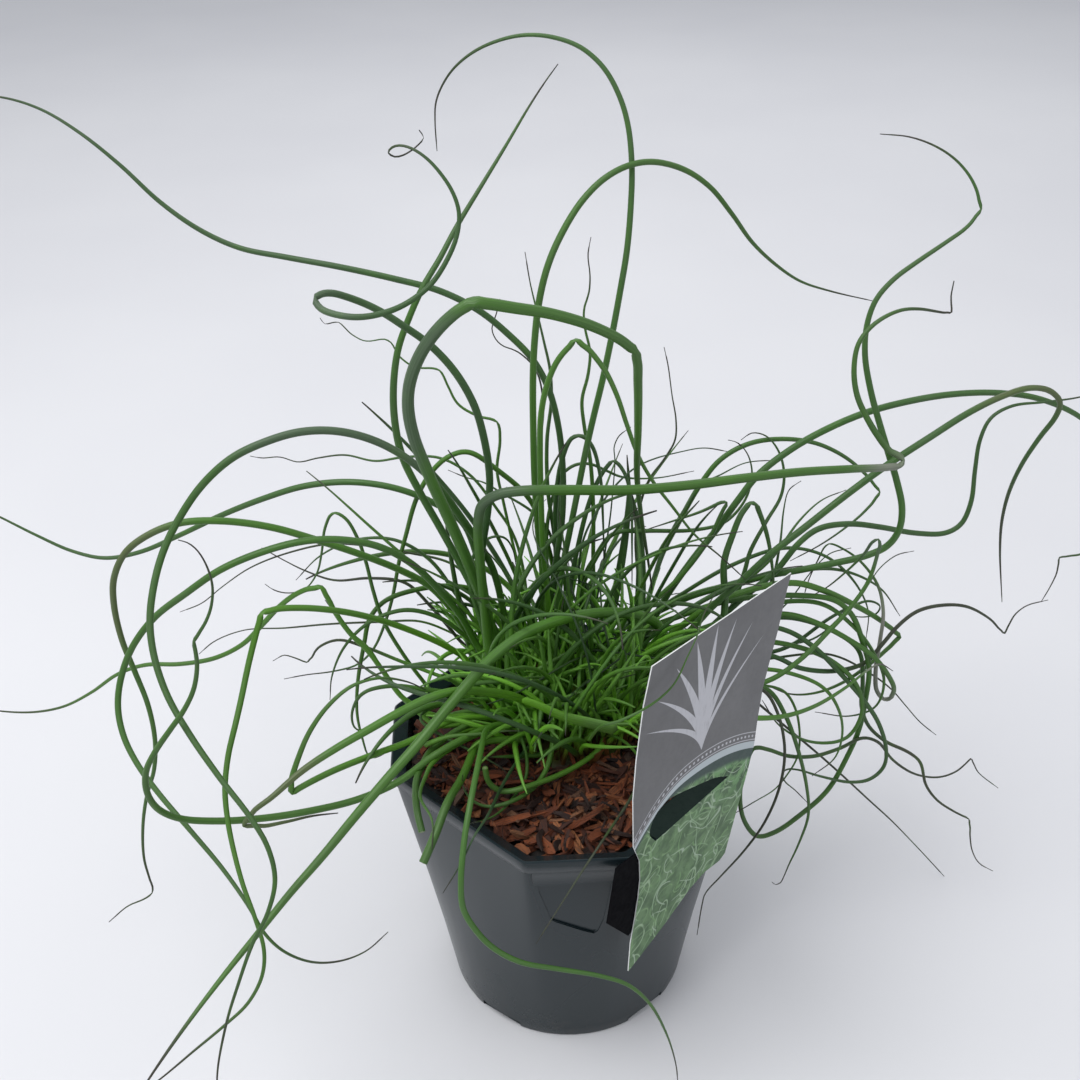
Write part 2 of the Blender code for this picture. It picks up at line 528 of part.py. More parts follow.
def make_mulch():
    """A ring of bark chips between the crown and the pot."""
    bm = bmesh.new()
    edge = RIM_LEDGE + RIM_LEDGE_LEAN + GAP
    levels = []
    for ring in range(MULCH_RINGS):
        share = ring / (MULCH_RINGS - 1)
        loop = []
        for angle, (x, y) in zip(pot_angles(), pot_outline(edge, roundness_at(MULCH_TOP - MULCH_LUMP))):
            inner_x = CROWN_CENTRE[0] + (CROWN_RADIUS + GAP) * math.cos(angle)
            inner_y = CROWN_CENTRE[1] + (CROWN_RADIUS + GAP) * math.sin(angle)
            px = x * (1 - share) + inner_x * share
            py = y * (1 - share) + inner_y * share
            loop.append(bm.verts.new((px, py, mulch_height(px, py))))
        levels.append(loop)
    outer = lathe_loop(bm, pot_outline(edge, roundness_at(SOIL_TOP)), SOIL_TOP)
    inner = [bm.verts.new((v.co.x, v.co.y, SOIL_TOP)) for v in levels[-1]]
    bridge_stack(bm, [inner, outer] + levels + [inner])
    return mesh_object("mulch", bm, material("bark_chips", BARK_RED, 0.85))


def side_frame():
    """The front right side: its front corner at the rim, the way along it and the way out of it."""
    start = Vector((POT_CUT_CORNER / 2, -corner_distance(), POT_HEIGHT))
    along = Vector((1, 1, 0)).normalized()
    outward = Vector((1, -1, 0)).normalized()
    return start, along, outward


def card_point(u, v, off):
    start, along, outward = side_frame()
    return start + along * (u * MM) + outward * off + Vector((0, 0, v * MM))


def card_loop(bm, outline, off):
    return [bm.verts.new(card_point(u, v, off)) for u, v in outline]


def fill_between(bm, loops):
    """A flat face with the first loop as its edge and the others as holes."""
    edges = [bm.edges.get((loop[i - 1], vert)) or bm.edges.new((loop[i - 1], vert))
             for loop in loops for i, vert in enumerate(loop)]
    bmesh.ops.triangle_fill(bm, edges=edges, use_beauty=True)


def make_label():
    """The card with its window, and the tongue from the window's foot, in over the rim and down inside it."""
    bm = bmesh.new()
    near, far = CARD_OFF_RIM, CARD_OFF_RIM + CARD_THICKNESS
    start, end = TONGUE_SPAN
    lid = TONGUE_SILL + CARD_THICKNESS / MM
    root = [(start, TONGUE_SILL), (end, TONGUE_SILL), (end, lid), (start, lid)]
    edge = [card_loop(bm, CARD_OUTLINE, off) for off in (near, far)]
    window = [card_loop(bm, CARD_WINDOW, off) for off in (near, far)]
    tongue = [card_loop(bm, root, near)]
    bend = [(u, v, -TONGUE_REACH if v > TONGUE_SILL else -TONGUE_REACH + CARD_THICKNESS) for u, v in root]
    tongue.append([bm.verts.new(card_point(u, v, off)) for u, v, off in bend])
    tongue.append([bm.verts.new(card_point(u, -TONGUE_DROP / MM, off)) for u, v, off in bend])
    for walls in (edge, window, tongue):
        bridge_stack(bm, walls)
    bm.faces.new(tongue[-1])
    fill_between(bm, [edge[0], window[0], tongue[0]])
    fill_between(bm, [edge[1], window[1]])
    return mesh_object("label", bm, material("label_card", CARD_GREY, 0.45))


def view_axes():
    forward = Vector((0, math.cos(VIEW_PITCH), -math.sin(VIEW_PITCH)))
    up = Vector((0, math.sin(VIEW_PITCH), math.cos(VIEW_PITCH)))
    turn = np.array(Matrix.Rotation(-VIEW_YAW, 3, "Z"))
    return [np.array(axis) @ turn.T for axis in (Vector((1, 0, 0)), up, forward)]


def view_to_space(columns, rows, depths):
    """Points seen at these columns and rows of the view, at these depths behind the pot's axis (mm)."""
    right, up, forward = view_axes()
    across, down = columns - VIEW_MIDDLE, rows - VIEW_MIDDLE
    u = across * math.cos(VIEW_ROLL) + down * math.sin(VIEW_ROLL)
    v = down * math.cos(VIEW_ROLL) - across * math.sin(VIEW_ROLL)
    rays = forward + np.outer(u / VIEW_FOCAL, right) - np.outer(v / VIEW_FOCAL, up)
    eye = np.array(VIEW_EYE)
    reach = (depths * MM - eye[1]) / rays[:, 1]
    return eye + rays * reach[:, None]


def smooth_curve(points, per_span=CURVE_STEPS):
    """A centripetal Catmull-Rom curve through the points."""
    points = np.asarray(points, float)
    padded = np.vstack([2 * points[0] - points[1], points, 2 * points[-1] - points[-2]])
    knots = np.concatenate([[0], np.cumsum(np.linalg.norm(np.diff(padded, axis=0), axis=1) ** 0.5)])
    curve = []
    for i in range(1, len(padded) - 2):
        p0, p1, p2, p3 = padded[i - 1:i + 3]
        t0, t1, t2, t3 = knots[i - 1:i + 3]
        for t in np.linspace(t1, t2, per_span, endpoint=False):
            a1 = (t1 - t) / (t1 - t0) * p0 + (t - t0) / (t1 - t0) * p1
            a2 = (t2 - t) / (t2 - t1) * p1 + (t - t1) / (t2 - t1) * p2
            a3 = (t3 - t) / (t3 - t2) * p2 + (t - t2) / (t3 - t2) * p3
            b1 = (t2 - t) / (t2 - t0) * a1 + (t - t0) / (t2 - t0) * a2
            b2 = (t3 - t) / (t3 - t1) * a2 + (t - t1) / (t3 - t1) * a3
            curve.append((t2 - t) / (t2 - t1) * b1 + (t - t1) / (t2 - t1) * b2)
    curve.append(points[-1])
    return np.array(curve)


def even_steps(curve, step):
    lengths = np.concatenate([[0], np.cumsum(np.linalg.norm(np.diff(curve, axis=0), axis=1))])
    count = max(3, int(round(lengths[-1] / step)) + 1)
    marks = np.linspace(0, lengths[-1], count)
    return np.stack([np.interp(marks, lengths, curve[:, axis]) for axis in range(curve.shape[1])], axis=1)


def route_in_space(route):
    """The route's curve, with its depth eased between the points that state one."""
    seen = smooth_curve([point[:2] for point in route])
    travel = np.concatenate([[0], np.cumsum(np.linalg.norm(np.diff(seen, axis=0), axis=1))])
    stated = [(travel[i * CURVE_STEPS], point[2]) for i, point in enumerate(route) if len(point) == 3]
    depths = np.interp(travel, [s for s, _ in stated], [d for _, d in stated])
    marks = np.linspace(0, travel[-1], DEPTH_MARKS)
    level = np.interp(marks, travel, depths)
    for _ in range(DEPTH_EASING):
        level[1:-1] = (level[:-2] + 2 * level[1:-1] + level[2:]) / 4
    depths = np.interp(travel, marks, level)
    return view_to_space(seen[:, 0], seen[:, 1], depths)


def crown_slots(count):
    """Places on the crown's top, spread evenly from its middle to its edge."""
    steps = np.arange(count)
    radius = CROWN_SLOT_RADIUS * np.sqrt((steps + 0.5) / count)
    angle = steps * math.pi * (3 - math.sqrt(5))
    spots = np.stack([radius * np.cos(angle), radius * np.sin(angle)], axis=1)
    return spots + CROWN_CENTRE


def take_slot(free, towards):
    """The free slot nearest to where the stem heads, measured a little inside the crown's edge."""
    way = np.asarray(towards[:2]) - CROWN_CENTRE
    reach = np.linalg.norm(way)
    aim = np.array(CROWN_CENTRE) + way * min(1.0, CROWN_SLOT_RADIUS / max(reach, 1e-6))
    nearest = min(range(len(free)), key=lambda i: (free[i][0] - aim[0]) ** 2 + (free[i][1] - aim[1]) ** 2)
    return free.pop(nearest)


def rooted_path(slot, foot, route):
    """The stem from its slot on the crown, upright at first and then easing into its route."""
    root = np.array([slot[0], slot[1], foot])
    base = root + np.array([0.0, 0.0, STEM_RISE])
    start = route[0]
    pull = np.linalg.norm(start - base) * ROOT_PULL
    into = route[min(ROOT_AIM, len(route) - 1)] - start
    into = into / np.linalg.norm(into) * pull
    rise = np.array([0.0, 0.0, pull])
    t = np.linspace(0, 1, ROOT_STEPS, endpoint=False)[:, None]
    ease = ((2 * t ** 3 - 3 * t ** 2 + 1) * base + (t ** 3 - 2 * t ** 2 + t) * rise
            + (3 * t ** 2 - 2 * t ** 3) * start + (t ** 3 - t ** 2) * into)
    return np.vstack([root, even_steps(np.vstack([ease, route]), ROUTE_STEP)])


def shoot_path(slot, foot, chance):
    """A short shoot that leaves the crown nearly upright and leans outwards."""
    outward = np.array([slot[0] - CROWN_CENTRE[0], slot[1] - CROWN_CENTRE[1], 0.0]) / CROWN_SLOT_RADIUS
    length = chance.uniform(*SHOOT_LENGTH)
    swing = np.array([chance.normal(), chance.normal(), 0.0]) * SHOOT_SWING
    lean = (outward * SHOOT_SPREAD + swing) * length
    corner, _, to_card = (np.array(part) for part in side_frame())
    past = (np.array([*slot, POT_HEIGHT]) + lean - corner) @ to_card + SHOOT_CARD_ROOM
    lean = lean - to_card * max(0.0, past)
    t = np.linspace(0, 1, SHOOT_STEPS)[:, None]
    root = np.array([slot[0], slot[1], foot])
    base = root + np.array([0.0, 0.0, STEM_RISE])
    rise = np.array([0.0, 0.0, length]) * t * (1 - SHOOT_BOW * t)
    return np.vstack([root, even_steps(base + rise + lean * t ** 2, ROUTE_STEP)])


def ring_marks(path, radius):
    """Which points of a fine path its tube keeps, so that it stays within ROUTE_SLACK of the path."""
    keep = [0, 1, len(path) - 1]
    spans = [(1, len(path) - 1)]
    while spans:
        start, end = spans.pop()
        if end - start < 2:
            continue
        between = path[start + 1:end] - path[start]
        chord = path[end] - path[start]
        length = max(np.linalg.norm(chord), 1e-9)
        share = np.clip(between @ chord / length ** 2, 0, 1)
        bow = np.linalg.norm(between - share[:, None] * chord, axis=1)
        worst = start + 1 + int(bow.argmax())
        clear = min(np.linalg.norm(path[worst] - path[start]), np.linalg.norm(path[worst] - path[end]))
        if bow.max() > ROUTE_SLACK and clear > RING_CLOSE * radius:
            keep.append(worst)
            spans += [(start, worst), (worst, end)]
    return sorted(set(keep))


def stem_radii(path, girth, blunt):
    """Full girth most of the way, then drawn out to a fine tip."""
    lengths = np.concatenate([[0], np.cumsum(np.linalg.norm(np.diff(path, axis=0), axis=1))])
    share = lengths / lengths[-1]
    if blunt:
        return np.full(len(path), girth / 2 * MM)
    fall = np.clip((share - TAPER_START) / (1 - TAPER_START), 0, 1)
    return np.maximum(girth / 2 * (1 - TIP_FALL * fall ** 2), TIP_RADIUS) * MM


def closest_on_segments(p, d1, q, d2):
    """Where two sets of segments come closest, as the share along each."""
    r = p - q
    a = (d1 * d1).sum(1)
    e = (d2 * d2).sum(1)
    b = (d1 * d2).sum(1)
    c = (d1 * r).sum(1)
    f = (d2 * r).sum(1)
    s = np.clip((b * f - c * e) / np.maximum(a * e - b * b, 1e-12), 0, 1)
    t = np.clip((b * s + f) / np.maximum(e, 1e-12), 0, 1)
    s = np.clip((b * t - c) / np.maximum(a, 1e-12), 0, 1)
    return s, t


def settle(paths, radii):
    """Moves crossing stems apart until each has its clearance, as real stems push each other aside."""
    owner = np.concatenate([np.full(len(path), i) for i, path in enumerate(paths)])
    place = np.concatenate([np.arange(len(path)) for path in paths])
    points = np.vstack(paths)
    girth = np.concatenate(radii)
    heads = np.array([i for i in range(len(points) - 1) if owner[i] == owner[i + 1]])
    first, second = np.triu_indices(len(heads), 1)
    near = (owner[heads[first]] != owner[heads[second]]) | (np.abs(first - second) > OWN_NEIGHBOURS)
    first, second = first[near], second[near]
    fixed = place < FIXED_RINGS
    for _ in range(SETTLE_ROUNDS):
        keep_off_pot(points, girth, fixed)
        keep_off_card(points, girth, heads, fixed)
        middle = (points[heads] + points[heads + 1]) / 2
        half = np.linalg.norm(points[heads + 1] - points[heads], axis=1) / 2
        apart = np.linalg.norm(middle[first] - middle[second], axis=1)
        close = apart < half[first] + half[second] + SETTLE_REACH
        i, j = heads[first[close]], heads[second[close]]
        d1, d2 = points[i + 1] - points[i], points[j + 1] - points[j]
        s, t = closest_on_segments(points[i], d1, points[j], d2)
        between = points[i] + d1 * s[:, None] - points[j] - d2 * t[:, None]
        distance = np.linalg.norm(between, axis=1)
        need = girth[i] * (1 - s) + girth[i + 1] * s + girth[j] * (1 - t) + girth[j + 1] * t
        need = need + STEM_CLEARANCE
        short = distance < need
        if not short.any():
            break
        i, j, s, t = i[short], j[short], s[short], t[short]
        way = between[short] / np.maximum(distance[short], 1e-7)[:, None]
        push = way * ((need[short] - distance[short]) * SETTLE_PUSH)[:, None]
        move = np.zeros_like(points)
        hits = np.zeros(len(points))
        for index, share, sign in ((i, 1 - s, 1), (i + 1, s, 1), (j, 1 - t, -1), (j + 1, t, -1)):
            np.add.at(move, index, sign * push * share[:, None])
            np.add.at(hits, index, (share > 0.05).astype(float))
        move /= np.maximum(1.0, hits ** 0.5)[:, None]
        move[fixed] = 0
        points += move
    cuts = np.cumsum([len(path) for path in paths])[:-1]
    return np.split(points, cuts)


def keep_off_pot(points, girth, fixed):
    """Lifts stems that dip into the rim, the mulch or the floor."""
    room = girth + POT_ROOM
    roundness = np.clip(1 - points[:, 2] / POT_HEIGHT, 0, 1)
    square = np.array([rim_reach(math.atan2(y, x), 0.0) for x, y, _ in points])
    square = square * (1 - roundness) + POT_FOOT_RADIUS * roundness
    reach = np.hypot(points[:, 0], points[:, 1])
    inside = reach < square - RIM_LEDGE - room
    outside = reach > square + room
    floor = np.where(inside, MULCH_TOP + MULCH_MOUND + MULCH_LUMP, np.where(outside, 0.0, POT_HEIGHT)) + room
    low = (points[:, 2] < floor) & ~fixed
    sideways = low & ~inside & ~outside & (points[:, 2] < POT_HEIGHT - RIM_SIDE_DROP)
    lift = low & ~sideways
    points[lift, 2] = floor[lift]
    grow = ((square + room) / np.maximum(reach, 1e-6))[sideways]
    points[sideways, 0] *= grow
    points[sideways, 1] *= grow


def keep_off_card(points, girth, heads, fixed):
    """Keeps stems off both faces of the label card."""
    start, along, outward = (np.array(part) for part in side_frame())
    left, right, bottom, top = CARD_REACH

    def over_card(places):
        across, up = places @ along, places[:, 2]
        return (across > left) & (across < right) & (up > bottom) & (up < top)

    from_corner = points - start
    off = from_corner @ outward - CARD_OFF_RIM
    room = girth + CARD_ROOM
    side = np.where(off > 0, 1, -1)
    close = over_card(from_corner) & (np.abs(off) < room) & ~fixed
    points[close] += outward * (side * room - off)[close, None]
    i, j = heads, heads + 1
    share = off[i] / np.where(off[i] == off[j], 1.0, off[i] - off[j])
    meets = from_corner[i] + (from_corner[j] - from_corner[i]) * np.clip(share, 0, 1)[:, None]
    through = (off[i] * off[j] < 0) & over_card(meets)
    nearer = np.unique(np.where(np.abs(off[i]) < np.abs(off[j]), i, j)[through])
    nearer = nearer[~fixed[nearer]]
    points[nearer] -= outward * (side * room + off)[nearer, None]


def add_tube(bm, path, radii, sides):
    """A tapered tube along the path, with rings that turn without twisting and with closed ends."""
    ways = np.diff(path, axis=0)
    ways /= np.linalg.norm(ways, axis=1)[:, None]
    first = np.cross(ways[0], (0.3, 1.0, 0.2))
    across = first / np.linalg.norm(first)
    rings = []
    for i, spot in enumerate(path):
        facing = ways[max(0, i - 1)] + ways[min(i, len(ways) - 1)]
        facing /= max(np.linalg.norm(facing), 1e-6)
        across = across - facing * (across @ facing)
        across /= np.linalg.norm(across)
        beside = np.cross(facing, across)
        turns = [2 * math.pi * side / sides for side in range(sides)]
        rings.append([bm.verts.new(spot + radii[i] * (across * math.cos(turn) + beside * math.sin(turn)))
                      for turn in turns])
    bridge_stack(bm, rings)
    bm.faces.new(list(reversed(rings[0])))
    bm.faces.new(rings[-1])


def plan_stems():
    """Every stem and shoot as (kind, name, path, radii), rooted on the crown and settled."""
    free = [tuple(slot) for slot in crown_slots(len(STEMS) + len(THIN_STEMS) + SHOOT_COUNT)]
    plan = []
    for kind, table, foot in (("own", STEMS, CROWN_TOP + GAP), ("joined", THIN_STEMS, CROWN_TOP - 0.001)):
        for name, (girth, blunt, route) in table.items():
            course = route_in_space(route)
            path = rooted_path(take_slot(free, course[0]), foot, course)
            plan.append((kind, name, path, stem_radii(path, girth, blunt)))
    chance = np.random.RandomState(SHOOT_SEED)
    for slot in free:
        path = shoot_path(slot, CROWN_TOP - 0.001, chance)
        plan.append(("joined", "shoot", path, stem_radii(path, SHOOT_GIRTH, False)))
    marks = [ring_marks(path, radii[0]) for _, _, path, radii in plan]
    paths = settle([plan[i][2][keep] for i, keep in enumerate(marks)],
                   [plan[i][3][keep] for i, keep in enumerate(marks)])
    return [(kind, name, paths[i], radii[marks[i]]) for i, (kind, name, _, radii) in enumerate(plan)]


def make_stems(plan):
    green = material("rush_stem", RUSH_GREEN, 0.45)
    joined = bmesh.new()
    for kind, name, path, radii in plan:
        if kind == "own":
            bm = bmesh.new()
            add_tube(bm, path, radii, THICK_SIDES if radii[0] * 2 > THICK_STEM * MM else THIN_SIDES)
            mesh_object(name, bm, green)
        else:
            add_tube(joined, path, radii, THIN_SIDES)
    crown = mesh_object("crown", joined, green)
    boolean(crown, make_crown_mat(green), "UNION")


def make_crown_mat(finish):
    """The rhizome mat that the stems rise from."""
    bm = bmesh.new()
    turns = [2 * math.pi * side / CROWN_SIDES for side in range(CROWN_SIDES)]
    across, behind = CROWN_CENTRE
    loops = []
    for z, radius in ((SOIL_TOP, CROWN_RADIUS), (CROWN_TOP - CROWN_EDGE, CROWN_RADIUS),
                      (CROWN_TOP, CROWN_RADIUS - CROWN_EDGE)):
        outline = [(across + radius * math.cos(turn), behind + radius * math.sin(turn)) for turn in turns]
        loops.append(lathe_loop(bm, outline, z))
    bridge_stack(bm, loops)
    bm.faces.new(list(reversed(loops[0])))
    bm.faces.new(loops[-1])
    return mesh_object("crown_mat", bm, finish)


clear_scene()
make_pot()
make_soil()
make_mulch()
make_label()
make_stems(plan_stems())
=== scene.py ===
import math

import bpy
import bmesh
import numpy as np
from mathutils import Matrix, Vector


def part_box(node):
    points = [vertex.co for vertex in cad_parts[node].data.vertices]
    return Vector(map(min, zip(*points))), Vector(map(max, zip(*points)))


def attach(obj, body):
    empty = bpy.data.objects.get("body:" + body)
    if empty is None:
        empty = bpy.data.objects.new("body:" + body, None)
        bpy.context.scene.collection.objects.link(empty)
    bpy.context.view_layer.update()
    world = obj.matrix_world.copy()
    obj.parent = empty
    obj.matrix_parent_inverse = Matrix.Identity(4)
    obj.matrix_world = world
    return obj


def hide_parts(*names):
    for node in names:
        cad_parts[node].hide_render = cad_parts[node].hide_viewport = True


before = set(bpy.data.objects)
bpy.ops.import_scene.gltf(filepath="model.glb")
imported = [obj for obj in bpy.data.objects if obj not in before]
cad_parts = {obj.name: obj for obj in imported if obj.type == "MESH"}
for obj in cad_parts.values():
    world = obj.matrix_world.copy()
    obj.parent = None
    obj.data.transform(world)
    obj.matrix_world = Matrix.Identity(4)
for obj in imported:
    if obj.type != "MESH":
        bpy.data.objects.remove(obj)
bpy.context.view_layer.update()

# Camera. It stands where the photograph was taken from: above the pot's front, looking down at it.
# The stems' routes further down are read from this same view of 1080 by 1080 pixels.
MM = 0.001
VIEW_MIDDLE = 540.0
VIEW_FOCAL = 1350.0
VIEW_PITCH = math.radians(33.6)
VIEW_YAW = math.radians(2.1)
VIEW_ROLL = math.radians(-1.03)
VIEW_EYE = Vector((-0.0324, -0.5452, 0.6530))
SENSOR = 36.0
NEAR_CLIP = 0.02


def view_axes():
    forward = Vector((0, math.cos(VIEW_PITCH), -math.sin(VIEW_PITCH)))
    up = Vector((0, math.sin(VIEW_PITCH), math.cos(VIEW_PITCH)))
    turn = np.array(Matrix.Rotation(-VIEW_YAW, 3, "Z"))
    return [np.array(axis) @ turn.T for axis in (Vector((1, 0, 0)), up, forward)]


def place_camera():
    right, up, forward = (Vector(axis) for axis in view_axes())
    across = right * math.cos(VIEW_ROLL) + up * math.sin(VIEW_ROLL)
    over = up * math.cos(VIEW_ROLL) - right * math.sin(VIEW_ROLL)
    lens = bpy.data.cameras.new("camera")
    lens.sensor_width = SENSOR
    lens.lens = SENSOR * VIEW_FOCAL / (2 * VIEW_MIDDLE)
    lens.clip_start = NEAR_CLIP
    camera = bpy.data.objects.new("camera", lens)
    bpy.context.scene.collection.objects.link(camera)
    turn = Matrix((across, over, -forward)).transposed().to_4x4()
    camera.matrix_world = Matrix.Translation(VIEW_EYE) @ turn
    bpy.context.scene.camera = camera


place_camera()

# Pot. One moulded plastic pot, square with cut corners at the rim and round at the foot, in satin slate
# grey. It has a rim band with a sloped ledge inside it, a label panel on the front corner, notches in
# the foot and drainage holes.
POT_FLATS = 0.170
POT_CUT_CORNER = 0.0534
POT_HEIGHT = 0.1675
POT_FOOT_RADIUS = 0.0686
POT_WALL = 0.0014
POT_FLOOR = 0.0024
RIM_BAND = 0.0095
RIM_STEP = 0.0011
RIM_EDGE = 0.0013
RIM_LEDGE = 0.0075
RIM_LEDGE_DROP = 0.0035
RIM_LEDGE_LEAN = 0.0004
RIM_ROOT = 0.1475
CORNER_SHARPNESS = 150
FOOT_SHARPNESS = 14
CUT_PARTS = 8
FLAT_PARTS = 12
CORNER_CROWDING = 0.8
FOOT_NOTCH = (0.026, 0.005)
FOOT_NOTCH_REACH = 0.012
FOOT_NOTCH_OUT = 0.0025
FOOT_NOTCH_ANGLES = (-128, -52, 38, 142)
DRAIN_RADIUS = 0.006
DRAIN_RING = 0.040
DRAIN_COUNT = 6
DRAIN_SIDES = 32
DRAIN_LENGTH = 0.02
LIP_OUTLINE = ((-22.6, 160), (-22.2, 148.3), (-21.4, 147.5), (17.4, 147.5), (18.2, 148.3), (18.5, 160))
LIP_INSET = 0.0003
POCKET_OUTLINE = (
    (-20.2, 150), (-19.3, 142), (-17.0, 132), (-15.0, 124), (-13.5, 117), (-11.5, 114.6), (3, 105.4),
    (8.5, 102.5), (10.6, 104.6), (13.2, 114.5), (14.8, 130), (16.7, 150)
)
POCKET_DEPTH = 0.0006
SLOT_OUTLINE = ((-13.6, 119), (-13.2, 116.5), (3, 106), (8.3, 103), (9.6, 105.4), (3.4, 108.8), (-12.6, 119))
SLOT_DEPTH = 0.0012
CUTTER_REACH = 0.004
POT_SHARP_ANGLE = 35
POT_SLATE = (0.013, 0.022, 0.026)
# Painted shade on the pot's inside: a darker teal.
POT_INSIDE_SHADE = (0.011, 0.021, 0.025)
POT_CLOUD = (0.017, 0.025, 0.028)
POT_DUST = (0.12, 0.11, 0.10)
POT_SCUFF = (0.11, 0.12, 0.13)


class Nodes:
    """Builds a material's node tree: each call adds what it names and returns its output."""

    def __init__(self, name, roughness=0.5):
        self.material = bpy.data.materials.new(name)
        self.material.use_nodes = True
        self.tree = self.material.node_tree
        self.shader = self.tree.nodes["Principled BSDF"]
        self.shader.inputs["Roughness"].default_value = roughness

    def add(self, kind, output=0, settings=None, **inputs):
        node = self.tree.nodes.new(kind)
        for key, value in (settings or {}).items():
            setattr(node, key, value)
        for key, value in inputs.items():
            self.put(node.inputs[int(key[1:]) if key[1:].isdigit() else key.replace("_", " ")], value)
        return node.outputs[output]

    def put(self, socket, value):
        if isinstance(value, bpy.types.NodeSocket):
            self.tree.links.new(value, socket)
        elif isinstance(value, tuple) and socket.type == "RGBA":
            socket.default_value = (*value, 1.0)[:4]
        else:
            socket.default_value = value

    def math(self, operation, a, b=0.0, c=0.0):
        return self.add("ShaderNodeMath", settings={"operation": operation}, i0=a, i1=b, i2=c)

    def plus(self, a, b):
        return self.math("ADD", a, b)

    def minus(self, a, b):
        return self.math("SUBTRACT", a, b)

    def times(self, a, b):
        return self.math("MULTIPLY", a, b)

    def most(self, a, b):
        return self.math("MAXIMUM", a, b)

    def coords(self, kind="Object"):
        found = [node for node in self.tree.nodes if node.type == "TEX_COORD"]
        return (found[0] if found else self.tree.nodes.new("ShaderNodeTexCoord")).outputs[kind]

    def stretch(self, vector, scale):
        return self.add("ShaderNodeMapping", Vector=vector, Scale=scale)

    def noise(self, vector, scale, detail=3.0, roughness=0.55):
        return self.add("ShaderNodeTexNoise", Vector=vector, Scale=scale, Detail=detail, Roughness=roughness)

    def band(self, value, low, high, to_low=0.0, to_high=1.0):
        """Maps low..high to to_low..to_high, smoothly and held at the ends."""
        smooth = {"interpolation_type": "SMOOTHSTEP"}
        return self.add("ShaderNodeMapRange", 0, smooth, i0=value, i1=low, i2=high, i3=to_low, i4=to_high)

    def mix(self, share, a, b):
        node = self.tree.nodes.new("ShaderNodeMix")
        node.data_type = "RGBA"
        for name, value in (("Factor_Float", share), ("A_Color", a), ("B_Color", b)):
            self.put(next(socket for socket in node.inputs if socket.identifier == name), value)
        return next(socket for socket in node.outputs if socket.identifier == "Result_Color")

    def tinge(self, a, b, value, low, high, share=1.0):
        """Colour a where the value is low, turning to b by this share where it is high."""
        return self.mix(self.band(value, low, high, 0.0, share), a, b)

    def ramp(self, value, *stops):
        node = self.tree.nodes.new("ShaderNodeValToRGB")
        self.put(node.inputs[0], value)
        elements = node.color_ramp.elements
        while len(elements) < len(stops):
            elements.new(0.5)
        for element, (place, colour) in zip(elements, stops):
            element.position = place
            element.color = (*colour, 1.0)
        return node.outputs[0]

    def attribute(self, name, output="Color"):
        node = self.tree.nodes.new("ShaderNodeAttribute")
        node.attribute_name = name
        return node.outputs[output]

    def bump(self, height, distance, strength):
        return self.add("ShaderNodeBump", Height=height, Distance=distance, Strength=strength)

    def done(self, **inputs):
        for key, value in inputs.items():
            self.put(self.shader.inputs[key.replace("_", " ")], value)
        return self.material


def corner_distance():
    """From the pot's axis to the face of a cut corner, at the rim."""
    return POT_FLATS * math.sqrt(0.5) - POT_CUT_CORNER / 2


def pot_angles(crowding):
    """The directions of an outline's points, crowded towards the rim's corners."""
    half_cut = math.atan2(POT_CUT_CORNER / 2, corner_distance())
    sides = ((-half_cut, half_cut, CUT_PARTS), (half_cut, math.pi / 2 - half_cut, FLAT_PARTS))
    angles = []
    for quarter in range(4):
        for start, end, parts in sides:
            for part in range(parts):
                share = part / parts
                share -= crowding * math.sin(2 * math.pi * share) / (2 * math.pi)
                angles.append(quarter * math.pi / 2 + start + (end - start) * share)
    return angles


def round_point(radius, angle, height=0.0):
    return radius * math.cos(angle), radius * math.sin(angle), height


def rim_sides(angle, inset):
    """How far the two nearest sides of the rim are from the axis in this direction."""
    off_flat = math.cos((angle % (math.pi / 2)) - math.pi / 4)
    off_cut = math.cos(((angle + math.pi / 4) % (math.pi / 2)) - math.pi / 4)
    return (POT_FLATS / 2 - inset) / off_flat, (corner_distance() - inset) / off_cut


def rim_reach(angle, inset):
    return min(rim_sides(angle, inset))


def rounded_reach(angle, inset, sharpness):
    """As rim_reach, with the corners rounded as a mould rounds them."""
    flat, cut = rim_sides(angle, inset)
    nearer = min(flat, cut)
    return nearer * ((nearer / flat) ** sharpness + (nearer / cut) ** sharpness) ** (-1 / sharpness)


def roundness_at(height):
    return 1 - max(0.0, height) / POT_HEIGHT


def wall_reach(reach, inset, height):
    """From the rim's reach in one direction to the round foot's, at this height."""
    roundness = roundness_at(height)
    return reach * (1 - roundness) + (POT_FOOT_RADIUS - inset) * roundness


def pot_level(bm, height, inset, shrink=1.0):
    rise = min(1.0, (height / (POT_HEIGHT - RIM_BAND)) ** 2)
    sharpness = FOOT_SHARPNESS * (CORNER_SHARPNESS / FOOT_SHARPNESS) ** rise
    level = []
    for angle in pot_angles(CORNER_CROWDING):
        radius = wall_reach(rounded_reach(angle, inset, sharpness), inset, height)
        level.append(bm.verts.new(round_point(radius * shrink, angle, height)))
    return level


def bridge_stack(bm, loops):
    """The faces between each loop of vertices and the next."""
    faces = []
    for lower, upper in zip(loops, loops[1:]):
        for i in range(len(lower)):
            j = (i + 1) % len(lower)
            faces.append(bm.faces.new((lower[i], lower[j], upper[j], upper[i])))
    return faces


def close_ring(bm, ring, middle):
    """The faces from a loop of vertices to the one in its middle."""
    return [bm.faces.new((vert, ring[(i + 1) % len(ring)], middle)) for i, vert in enumerate(ring)]


def soften(mesh, below):
    """Smooth shading wherever an edge turns by less than this many degrees."""
    mesh.shade_smooth()
    mesh.set_sharp_from_angle(angle=math.radians(below))


